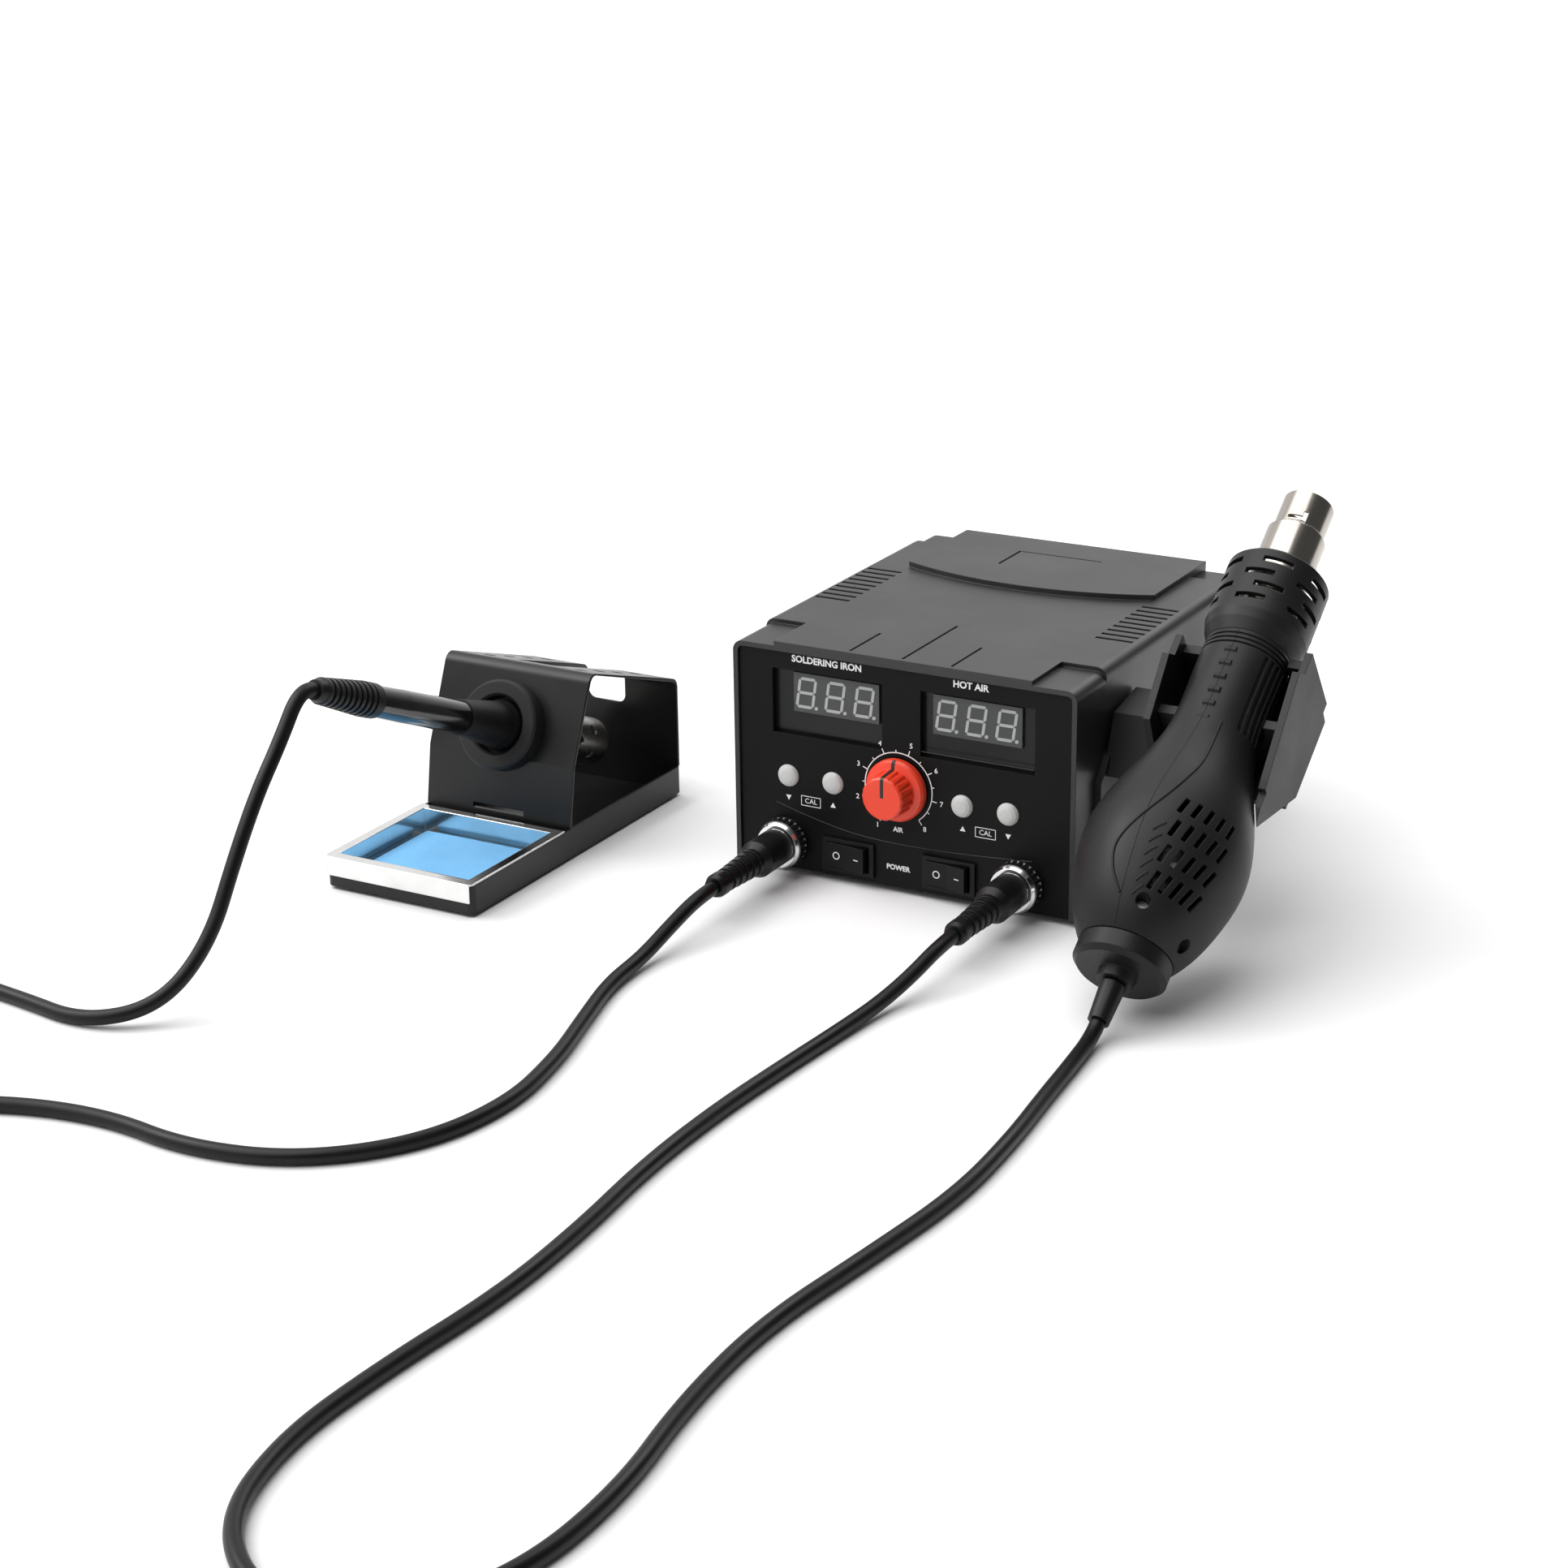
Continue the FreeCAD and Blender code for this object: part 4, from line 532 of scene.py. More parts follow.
def facing_front(mesh, y):
    """Stands a flat drawing of the panel upright at a depth, in millimetres from the case's middle."""
    mesh.transform(Matrix.Translation(spot(0, y, 0)) @ Matrix.Rotation(math.pi / 2, 4, "X"))
    return mesh


def facing_rear(mesh, y):
    """Stands a flat drawing upright on the rear, read from behind."""
    turn = Matrix.Rotation(math.pi, 4, "Z") @ Matrix.Rotation(math.pi / 2, 4, "X")
    mesh.transform(Matrix.Translation(spot(0, y, 0)) @ turn)
    return mesh


def surface_of(node):
    """A CAD node's surface, for casting rays at."""
    source = NODES[node].data
    return BVHTree.FromPolygons([v.co for v in source.vertices], [p.vertices for p in source.polygons])


def smooth(points):
    """Points along a smooth spline that flat points control."""
    curve = bpy.data.curves.new("smooth", "CURVE")
    curve.resolution_u = 8
    spline = curve.splines.new("NURBS")
    spline.points.add(len(points) - 1)
    for point, (x, y) in zip(spline.points, points):
        point.co = (x, y, 0.0, 1.0)
    spline.order_u = 3
    spline.use_endpoint_u = True
    return [(v.co.x, v.co.y) for v in plain_mesh(curve, "smooth").vertices]


def on_gun(shells, points):
    """Points on the gun's skin from angles round its axis, in degrees, and distances up it from the tail."""
    along = Vector((0, math.sin(GUN_LEAN), math.cos(GUN_LEAN)))
    upward = Vector((0, -math.cos(GUN_LEAN), math.sin(GUN_LEAN)))
    places = []
    for azimuth, s in points:
        a = math.radians(azimuth)
        out = upward * math.cos(a) + Vector((1, 0, 0)) * math.sin(a)
        start = spot(*GUN_TAIL) + along * s * MM
        hits = [shell.ray_cast(start + out * 0.06, -out) for shell in shells]
        near = [hit for hit in hits if hit[0] is not None]
        if near:
            places.append(min(near, key=lambda hit: hit[3])[0])
    return places


def drape(mesh, node, y):
    """Moves a front-facing mesh drawn at one depth onto a node's front surface."""
    surface = surface_of(node)
    level = spot(0, y, 0).y
    for vertex in mesh.vertices:
        start = Vector((vertex.co.x, level - 0.03, vertex.co.z))
        hit = surface.ray_cast(start, Vector((0, 1, 0)))[0]
        if hit is not None:
            vertex.co.y += hit.y - level
    return mesh


# ---------------------------------------------------------------- geometry nodes

def geometry_tree(name, inputs):
    """A geometry node tree with named inputs, and its input and output nodes."""
    tree = bpy.data.node_groups.new(name, "GeometryNodeTree")
    tree.interface.new_socket("Geometry", in_out="INPUT", socket_type="NodeSocketGeometry")
    for label, kind in inputs:
        tree.interface.new_socket(label, in_out="INPUT", socket_type=kind)
    tree.interface.new_socket("Geometry", in_out="OUTPUT", socket_type="NodeSocketGeometry")
    return tree, tree.nodes.new("NodeGroupInput"), tree.nodes.new("NodeGroupOutput")


def finish_tree(tree, enter, leave, geometry):
    """Realizes what a tree made and gives it its material."""
    real = tree.nodes.new("GeometryNodeRealizeInstances")
    paint = tree.nodes.new("GeometryNodeSetMaterial")
    tree.links.new(geometry, real.inputs[0])
    tree.links.new(real.outputs[0], paint.inputs["Geometry"])
    tree.links.new(enter.outputs["Material"], paint.inputs["Material"])
    tree.links.new(paint.outputs["Geometry"], leave.inputs["Geometry"])


def ring_tree():
    """Bars set round part of a circle, each pointing outwards."""
    tree, enter, leave = geometry_tree("Ring of bars", [
        ("Bars", "NodeSocketInt"), ("Radius", "NodeSocketFloat"), ("First", "NodeSocketFloat"),
        ("Step", "NodeSocketFloat"), ("Bar", "NodeSocketVector"), ("Material", "NodeSocketMaterial")])
    line = tree.nodes.new("GeometryNodeMeshLine")
    tree.links.new(enter.outputs["Bars"], line.inputs["Count"])
    index = tree.nodes.new("GeometryNodeInputIndex")
    angle = sum_of(tree, "ADD", sum_of(tree, "MULTIPLY", index.outputs[0], enter.outputs["Step"]),
                   enter.outputs["First"])
    where = tree.nodes.new("ShaderNodeCombineXYZ")
    turn = tree.nodes.new("ShaderNodeCombineXYZ")
    for axis, operation in (("X", "COSINE"), ("Y", "SINE")):
        share = tree.nodes.new("ShaderNodeMath")
        share.operation = operation
        tree.links.new(angle, share.inputs[0])
        tree.links.new(sum_of(tree, "MULTIPLY", share.outputs[0], enter.outputs["Radius"]),
                       where.inputs[axis])
    tree.links.new(angle, turn.inputs["Z"])
    placed = tree.nodes.new("GeometryNodeSetPosition")
    tree.links.new(line.outputs[0], placed.inputs["Geometry"])
    tree.links.new(where.outputs[0], placed.inputs["Position"])
    cube = tree.nodes.new("GeometryNodeMeshCube")
    tree.links.new(enter.outputs["Bar"], cube.inputs["Size"])
    euler = tree.nodes.new("FunctionNodeEulerToRotation")
    tree.links.new(turn.outputs[0], euler.inputs[0])
    copies = tree.nodes.new("GeometryNodeInstanceOnPoints")
    tree.links.new(placed.outputs["Geometry"], copies.inputs["Points"])
    tree.links.new(cube.outputs["Mesh"], copies.inputs["Instance"])
    tree.links.new(euler.outputs[0], copies.inputs["Rotation"])
    finish_tree(tree, enter, leave, copies.outputs["Instances"])
    return tree


def bead_tree():
    """A round bead laid along the object's own line."""
    tree, enter, leave = geometry_tree("Bead on a line", [
        ("Radius", "NodeSocketFloat"), ("Sides", "NodeSocketInt"), ("Material", "NodeSocketMaterial")])
    line = tree.nodes.new("GeometryNodeMeshToCurve")
    tree.links.new(enter.outputs["Geometry"], line.inputs["Mesh"])
    circle = tree.nodes.new("GeometryNodeCurvePrimitiveCircle")
    tree.links.new(enter.outputs["Radius"], circle.inputs["Radius"])
    tree.links.new(enter.outputs["Sides"], circle.inputs["Resolution"])
    sweep = tree.nodes.new("GeometryNodeCurveToMesh")
    sweep.inputs["Fill Caps"].default_value = True
    tree.links.new(line.outputs[0], sweep.inputs["Curve"])
    tree.links.new(circle.outputs["Curve"], sweep.inputs["Profile Curve"])
    finish_tree(tree, enter, leave, sweep.outputs[0])
    return tree


def grown(name, build, tree_name, values, source=None):
    """The plain mesh that a geometry node tree makes from these inputs."""
    mesh = source or bpy.data.meshes.new(name)
    holder = placed(name, mesh)
    modifier = holder.modifiers.new("Grow", "NODES")
    modifier.node_group = bpy.data.node_groups.get(tree_name) or build()
    for item in modifier.node_group.interface.items_tree:
        if item.in_out == "INPUT" and item.name in values:
            modifier[item.identifier] = values[item.name]
    view = bpy.context.evaluated_depsgraph_get()
    result = bpy.data.meshes.new_from_object(holder.evaluated_get(view), depsgraph=view)
    holder.modifiers.remove(modifier)
    bpy.data.objects.remove(holder)
    return result


def ring_of_bars(name, count, radius, first, step, size, material):
    """Bars round a circle in X and Y: millimetres and degrees."""
    return grown(name, ring_tree, "Ring of bars", {
        "Bars": count, "Radius": radius * MM, "First": math.radians(first), "Step": math.radians(step),
        "Bar": [part * MM for part in size], "Material": material})


def bead(name, points, radius, material):
    """A thin bead along points in the row frame."""
    line = bpy.data.meshes.new(name)
    line.from_pydata([tuple(p) for p in points], [(i, i + 1) for i in range(len(points) - 1)], [])
    return grown(name, bead_tree, "Bead on a line",
                 {"Radius": radius * MM, "Sides": 10, "Material": material}, line)


def colours():
    """The colours in use."""
    return bpy.context.scene.station_colours


def sizes():
    """The sizes in use."""
    return bpy.context.scene.station_sizes


def ink_finish():
    """Pad-printed white."""
    return moulded("Printed white", tuple(colours().ink), 0.45, 0.6, worn=(0.5, 0.5, 0.5), wear=0.0,
                   radius=0.00002, depth=0.00001, specular=0.3)


# ---------------------------------------------------------------- cords

def centreline(name, route):
    """The points of a smooth spline that a cord's route controls."""
    curve = bpy.data.curves.new(name, "CURVE")
    curve.dimensions = "3D"
    curve.resolution_u = 16
    spline = curve.splines.new("NURBS")
    spline.points.add(len(route) - 1)
    for point, place in zip(spline.points, route):
        point.co = (*spot(*place), 1.0)
    spline.order_u = 3
    spline.use_endpoint_u = True
    return [v.co.copy() for v in plain_mesh(curve, name).vertices]


def tube(name, path, diameter, sides):
    """A round cord along a path, capped at both ends."""
    bm = bmesh.new()
    rings = []
    side = Vector((1, 0, 0))
    for i, point in enumerate(path):
        along = (path[min(i + 1, len(path) - 1)] - path[max(i - 1, 0)]).normalized()
        side = (side - along * side.dot(along)).normalized()
        other = along.cross(side)
        ring = []
        for k in range(sides):
            a = 2 * math.pi * k / sides
            ring.append(bm.verts.new(point + (side * math.cos(a) + other * math.sin(a)) * diameter / 2))
        rings.append(ring)
    for first, second in zip(rings, rings[1:]):
        for k in range(sides):
            j = (k + 1) % sides
            face = bm.faces.new((first[k], first[j], second[j], second[k]))
            face.smooth = True
    bm.faces.new(list(reversed(rings[0])))
    bm.faces.new(rings[-1])
    return mesh_from(bm, name)


def lengths_along(path):
    """How far along the path each of its points is."""
    total = [0.0]
    for first, second in zip(path, path[1:]):
        total.append(total[-1] + (second - first).length)
    return total


def lay_cord(name, node, route, moving, loose):
    """A cord from the case to a tool: its last stretch, of a loose length in metres, follows the tool."""
    path = centreline(name, route)
    mesh = tube(name, path, sizes().cord, sizes().cord_sides)
    obj = placed(name, mesh)
    wear_finish(obj, moulded("Cord sleeve", (0.0030, 0.0030, 0.0032), 0.34, 0.46, grain=900.0,
                             depth=0.00002, wear=0.0, specular=0.25))
    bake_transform(obj, "case", moving, start=path[0], end=path[-1])
    along = lengths_along(path)
    shares = []
    for distance in along:
        share = min(1.0, max(0.0, 1.0 - (along[-1] - distance) / loose))
        shares += [share * share * (3 - 2 * share)] * sizes().cord_sides
    mesh.attributes["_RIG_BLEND"].data.foreach_set("value", shares)
    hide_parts(node)


class STATION_OT_cords(bpy.types.Operator):
    """Lay the two cords from the case's plugs to the iron and to the gun"""
    bl_idname = "station.cords"
    bl_label = "Cords"

    def execute(self, context):
        lay_cord("iron_cord_sleeve", "iron_cord", IRON_ROUTE, "iron", IRON_CORD_LOOSE)
        lay_cord("air_cord_sleeve", "air_cord", AIR_ROUTE, "gun", AIR_CORD_LOOSE)
        return {"FINISHED"}


# ---------------------------------------------------------------- sponge

class STATION_OT_sponge(bpy.types.Operator):
    """Cut the cleaning sponge, crowned and open-pored, for the tray's well"""
    bl_idname = "station.sponge"
    bl_label = "Sponge"

    def execute(self, context):
        low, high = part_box("sponge")
        middle = (low + high) / 2
        half = (high - low) / 2
        cell = 0.0008
        sag = 0.0006
        waist = 0.0005
        coarse, fine = 520.0, 1100.0
        deep, shallow = 0.00028, 0.00006
        pore_edge = 0.25
        counts = [max(2, round(2 * part / cell)) for part in half]
        bm = bmesh.new()
        seen = {}

        def corner(i, j, k):
            if (i, j, k) not in seen:
                seen[i, j, k] = bm.verts.new(
                    [2 * n / count - 1 for n, count in zip((i, j, k), counts)])
            return seen[i, j, k]

        for axis in range(3):
            u, v = (axis + 1) % 3, (axis + 2) % 3
            for end in (0, counts[axis]):
                for i in range(counts[u]):
                    for j in range(counts[v]):
                        quad = []
                        for du, dv in ((0, 0), (1, 0), (1, 1), (0, 1)):
                            key = [0, 0, 0]
                            key[axis], key[u], key[v] = end, i + du, j + dv
                            quad.append(corner(*key))
                        bm.faces.new(quad if end else list(reversed(quad))).smooth = True
        bm.normal_update()
        rounding = 0.0011
        for vertex in bm.verts:
            flat = vertex.co.copy()
            outer = Vector([part * h for part, h in zip(flat, half)])
            longest = max(abs(part) for part in flat)
            reach = Vector([max(0.0, abs(o) - (h - rounding)) * (1 if o > 0 else -1)
                            for o, h in zip(outer, half)])
            core = outer - reach
            place = core + (reach.normalized() * min(reach.length, rounding) if reach.length else reach)
            top = max(0.0, flat.z)
            pull = (1 - flat.x ** 2) * (1 - flat.y ** 2)
            place.z += top * (sizes().crown * pull - sag)
            for a in (0, 1):
                place[a] -= waist * flat[a] * (1 - flat[1 - a] ** 2) * (1 - abs(flat.z))
            hole = noise.noise(place * coarse) + 0.5 * noise.noise(place * fine)
            pinch = deep * max(0.0, hole - pore_edge) + shallow * hole
            if flat.z > -0.9 and longest > 0.9:
                place -= vertex.normal * pinch
            vertex.co = middle + place
        mesh = mesh_from(bm, "cleaning_sponge", outward=True)
        pad = piece("cleaning_sponge", mesh, sponge_finish(tuple(colours().sponge)), "sponge_pad")
        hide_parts("sponge")
        return {"FINISHED"}


# ---------------------------------------------------------------- finishes of the CAD nodes

class STATION_OT_case(bpy.types.Operator):
    """Finish the case, its cradle, feet and screws"""
    bl_idname = "station.case"
    bl_label = "Case"

    def execute(self, context):
        case = tuple(colours().case)
        dress(moulded("Case moulding", case, 0.36, 0.46, worn=(0.055, 0.055, 0.053), radius=0.0006,
                      grain=2200.0, depth=0.00002, specular=0.5), "top_cover")
        dress(moulded("Cradle moulding", case, 0.40, 0.50, radius=0.0005, specular=0.3), "gun_cradle")
        dress(moulded("Pan paint", case, 0.45, 0.6, grain=1200.0, specular=0.35), "base_pan")
        dress(moulded("Rear moulding", case, 0.5, 0.62, specular=0.3), "rear_panel")
        dress(moulded("Rubber foot", (0.014, 0.014, 0.014), 0.75, 0.9, grain=700.0, wear=0.1,
                      specular=0.25), "station_feet", "stand_feet")
        dress(metal("Zinc screw", (0.55, 0.56, 0.57), (0.30, 0.30, 0.31), 0.28, 0.45), "case_screws",
              "gun_screws")
        return {"FINISHED"}


class STATION_OT_front(bpy.types.Operator):
    """Finish the front panel and what a hand touches on it"""
    bl_idname = "station.front"
    bl_label = "Front Panel"

    def execute(self, context):
        panel = tuple(colours().panel)
        dress(moulded("Panel moulding", panel, 0.40, 0.48, worn=(0.012, 0.012, 0.0125), radius=0.0004,
                      grain=2600.0, depth=0.00001, specular=0.13), "front_panel")
        dress(moulded("Display mask", (0.004, 0.004, 0.0045), 0.22, 0.34, wear=0.0, depth=0.00001,
                      specular=0.3), "display_windows")
        dress(moulded("Digit face", (0.042, 0.043, 0.044), 0.28, 0.42, wear=0.0, depth=0.00001,
                      grain=3000.0), "display_modules")
        dress(moulded("Button cap", (0.50, 0.50, 0.49), 0.32, 0.45, worn=(0.62, 0.62, 0.60),
                      radius=0.0005, depth=0.00001, coat=0.15), "button_iron_down", "button_iron_up",
              "button_air_up", "button_air_down")
        dress(moulded("Knob red", tuple(colours().knob), 0.34, 0.44, worn=(0.80, 0.10, 0.05), wear=0.25,
                      radius=0.0003, depth=0.00001, coat=0.1), "speed_knob")
        dress(moulded("Switch black", (0.0032, 0.0032, 0.0034), 0.28, 0.38, radius=0.0003, depth=0.00001,
                      specular=0.2), "iron_rocker", "air_rocker", "rocker_frames", "mains_inlet",
              "fuse_drawer")
        dress(metal("Bright plate", (0.86, 0.86, 0.85), (0.62, 0.62, 0.61), 0.06, 0.18,
                    turn=(math.pi / 2, 0, 0)), "panel_sockets")
        dress(metal("Dark knurl", (0.20, 0.20, 0.205), (0.07, 0.07, 0.07), 0.22, 0.42,
                    turn=(math.pi / 2, 0, 0)), "iron_plug_ring", "air_plug_ring")
        for node, x in SOCKETS:
            obj = NODES[node]
            wear_finish(obj, bpy.data.materials["Dark knurl"], bpy.data.materials["Bright plate"])
            axis = spot(x, 0, SOCKET_Z)
            for face in obj.data.polygons:
                out = math.hypot(face.center.x - axis.x, face.center.z - axis.z)
                face.material_index = 1 if out < RING_BORE_R * MM else 0
        boot = moulded("Plug boot", (0.0035, 0.0035, 0.0037), 0.32, 0.44, radius=0.0004, grain=1500.0,
                       specular=0.3)
        for node in ("iron_plug", "air_plug"):
            obj = NODES[node]
            wear_finish(obj, bpy.data.materials["Bright plate"], boot)
            edge = spot(0, PANEL_FACE - BOOT_REACH, 0).y
            for face in obj.data.polygons:
                face.material_index = 1 if face.center.y < edge else 0
        return {"FINISHED"}


class STATION_OT_inside(bpy.types.Operator):
    """Finish the boards and the parts inside the case"""
    bl_idname = "station.inside"
    bl_label = "Inside"

    def execute(self, context):
        dress(board_finish(), "front_board", "power_board")
        dress(moulded("Switch housing", (0.04, 0.04, 0.042), 0.45, 0.6), "tact_switches")
        dress(metal("Plated steel", (0.60, 0.60, 0.58), (0.42, 0.42, 0.40), 0.22, 0.4), "potentiometer",
              "knob_shaft", "socket_nuts", "gun_motor")
        dress(metal("Laminations", (0.16, 0.16, 0.17), (0.08, 0.07, 0.06), 0.45, 0.65, depth=0.00006),
              "transformer_core")
        dress(moulded("Winding tape", (0.62, 0.45, 0.06), 0.25, 0.4, coat=0.3), "transformer_winding")
        dress(metal("Heatsink", (0.62, 0.62, 0.64), (0.45, 0.45, 0.47), 0.3, 0.45), "heatsink")
        dress(moulded("Capacitor sleeve", (0.012, 0.02, 0.07), 0.25, 0.4, coat=0.2), "capacitors")
        return {"FINISHED"}


class STATION_OT_stand(bpy.types.Operator):
    """Finish the iron stand, its bushing, guard and tray"""
    bl_idname = "station.stand"
    bl_label = "Stand"

    def execute(self, context):
        dress(moulded("Stand paint", (0.0048, 0.0048, 0.0050), 0.28, 0.38, worn=(0.03, 0.03, 0.03),
                      radius=0.0007, grain=1100.0, depth=0.00002, specular=0.32), "stand_base",
              "iron_holder")
        dress(moulded("Bushing rubber", (0.0065, 0.0065, 0.0067), 0.5, 0.62, radius=0.0006, grain=1400.0,
                      specular=0.3), "holder_bushing")
        dress(metal("Guard steel", (0.50, 0.49, 0.47), (0.30, 0.29, 0.27), 0.25, 0.45,
                    turn=(IRON_LEAN - math.pi / 2, 0, 0)), "holder_guard")
        dress(metal("Bright tray", (0.84, 0.84, 0.83), (0.70, 0.70, 0.69), 0.10, 0.22,
                    turn=(math.pi / 2, 0, 0), radius=0.0007), "sponge_tray")
        return {"FINISHED"}


class STATION_OT_iron(bpy.types.Operator):
    """Finish the soldering iron"""
    bl_idname = "station.iron"
    bl_label = "Iron"

    def execute(self, context):
        lean = (IRON_LEAN - math.pi / 2, 0, 0)
        dress(moulded("Nose rubber", (0.0040, 0.0040, 0.0041), 0.45, 0.6, radius=0.0005, specular=0.3),
              "iron_nose")
        dress(moulded("Handle gloss", (0.0035, 0.0035, 0.0038), 0.10, 0.16, wear=0.1, depth=0.000004,
                      grain=300.0, coat=0.6), "iron_handle")
        dress(moulded("Boot rubber", (0.0042, 0.0042, 0.0044), 0.36, 0.5, radius=0.0004, specular=0.3),
              "iron_boot", "gun_boot")
        dress(metal("Turned steel", (0.62, 0.61, 0.59), (0.40, 0.39, 0.37), 0.2, 0.38, turn=lean),
              "iron_nut", "iron_barrel")
        dress(metal("Tinned tip", (0.72, 0.71, 0.70), (0.35, 0.30, 0.24), 0.2, 0.5, turn=lean), "iron_tip")
        return {"FINISHED"}


class STATION_OT_gun(bpy.types.Operator):
    """Finish the hot-air gun"""
    bl_idname = "station.gun"
    bl_label = "Gun"

    def execute(self, context):
        lean = (GUN_LEAN - math.pi / 2, 0, 0)
        shell = moulded("Gun moulding", (0.0060, 0.0060, 0.0062), 0.38, 0.50, worn=(0.030, 0.030, 0.030),
                        radius=0.0005, grain=1500.0, depth=0.00004, specular=0.25)
        dress(shell, "gun_shell_left", "gun_shell_right", "gun_end_cap")
        dress(moulded("Collar moulding", (0.0065, 0.0065, 0.0067), 0.36, 0.46, radius=0.0005,
                      grain=1500.0, depth=0.00003, specular=0.3), "gun_collar")
        dress(metal("Heat tube", (0.48, 0.45, 0.41), (0.34, 0.31, 0.28), 0.14, 0.28, turn=lean),
              "gun_tube", "gun_nozzle")
        dress(moulded("Heater mica", (0.55, 0.50, 0.42), 0.6, 0.8, grain=600.0), "gun_heater")
        dress(moulded("Fan plastic", (0.02, 0.02, 0.021), 0.4, 0.5), "gun_fan")
        return {"FINISHED"}


# ---------------------------------------------------------------- printing and small parts

def segment(x, y, length, upright, width, thickness):
    """One pointed bar of a seven-segment digit."""
    a, b = length / 2, width / 2
    points = [(-a, 0), (-a + b, -b), (a - b, -b), (a, 0), (a - b, b), (-a + b, b)]
    if upright:
        points = [(-py, px) for px, py in points]
    return plate([(x + px, y + py) for px, py in points], thickness)


class STATION_OT_displays(bpy.types.Operator):
    """Set the unlit segments into the two three-digit displays"""
    bl_idname = "station.displays"
    bl_label = "Displays"

    def execute(self, context):
        high = sizes().digit / MM
        wide = 0.60 * high
        bar_width = 1.25
        thin = 0.00005
        slant = math.tan(math.radians(8))
        parts = []
        for middle in DIGITS_X:
            for column in (-1, 0, 1):
                shapes = []
                for level in (-1, 0, 1):
                    shapes.append(segment(0, level * high / 2, wide - 0.35, False, bar_width, thin))
                for side in (-1, 1):
                    for level in (-1, 1):
                        shapes.append(segment(side * wide / 2, level * high / 4, high / 2 - 0.35, True,
                                              bar_width, thin))
                shapes.append(band(0.4, 0.8, 0, 360, thin, 16))
                shapes[-1].transform(Matrix.Translation(((wide / 2 + 1.75) * MM, -high / 2 * MM, 0)))
                for shape in shapes:
                    for vertex in shape.vertices:
                        vertex.co.x += vertex.co.y * slant + (middle + 13.4 * column - 0.5) * MM
                        vertex.co.y += DIGITS_Z * MM
                parts += shapes
        mesh = facing_front(merged("display_segments", parts), DIGITS_FACE)
        piece("display_segments", mesh, moulded("Unlit segment", (0.36, 0.37, 0.37), 0.3, 0.4, wear=0.0,
              worn=(0.46, 0.46, 0.46), radius=0.00002, depth=0.00001), "case")
        return {"FINISHED"}


class STATION_OT_lettering(bpy.types.Operator):
    """Print the words, arrows and boxed marks on the front and rear panels"""
    bl_idname = "station.lettering"
    bl_label = "Lettering"

    def execute(self, context):
        ink = sizes().ink
        label = sizes().label
        parts = [words("SOLDERING IRON", label, ink, -34.5, 95.2), words("HOT AIR", label, ink, 31.0, 95.2),
                 words("AIR", 0.0029, ink, -1.7, 28.3), words("POWER", 0.0031, ink, -1.7, 11.4)]
        for middle, left_down in ((-42.5, True), (38.0, False)):
            parts.append(words("CAL", 0.0031, ink, middle, 33.7, 0.0))
            for y in (31.6, 35.8):
                parts.append(bar(middle, y, 9.0, 0.28, ink))
            for x in (-4.5, 4.5):
                parts.append(bar(middle + x, 33.7, 0.28, 4.4, ink))
            for side in (-1, 1):
                down = (side < 0) == left_down
                tip = -1.1 if down else 1.1
                x = middle + side * (10.5 if left_down else 10.2)
                parts.append(plate([(x - 1.25, 34 - tip), (x + 1.25, 34 - tip), (x, 34 + tip)], ink))
        mesh = facing_front(merged("panel_lettering", parts), PANEL_FACE)
        piece("panel_lettering", mesh, ink_finish(), "case")
        rear = [words("FUSE", 0.0030, ink, 38.0, 27.5), words("AC INPUT", 0.0030, ink, 38.0, 70.5)]
        mesh = facing_rear(merged("rear_lettering", rear), REAR_FACE)
        piece("rear_lettering", mesh, ink_finish(), "case")
        return {"FINISHED"}


class STATION_OT_dial(bpy.types.Operator):
    """Print the flow dial: its line, its ticks and its numbers"""
    bl_idname = "station.dial"
    bl_label = "Dial"

    def execute(self, context):
        ink = sizes().ink
        radius = sizes().dial / MM
        tick = sizes().tick / MM
        first, step, count = -53.0, 42.0, 8
        material = ink_finish()
        long_ticks = ring_of_bars("ticks", count, radius + tick / 2, first, step,
                                  (tick, 0.42, ink / MM), material)
        short_ticks = ring_of_bars("half_ticks", count - 1, radius + tick / 4, first + step / 2, step,
                                   (tick / 2, 0.38, ink / MM), material)
        for ticks in (long_ticks, short_ticks):
            ticks.transform(Matrix.Translation((0, 0, ink / 2)))
        parts = [band(radius, 0.45, first, step * (count - 1), ink), long_ticks, short_ticks]
        for i in range(count):
            a = math.radians(first + step * i)
            parts.append(words(str(count - i), 0.0031, ink, 20.0 * math.cos(a), 20.0 * math.sin(a), 0.01))
        mesh = merged("dial_scale", parts)
        mesh.transform(Matrix.Translation((DIAL[0] * MM, DIAL[1] * MM, 0)))
        piece("dial_scale", facing_front(mesh, PANEL_FACE), material, "case")
        return {"FINISHED"}


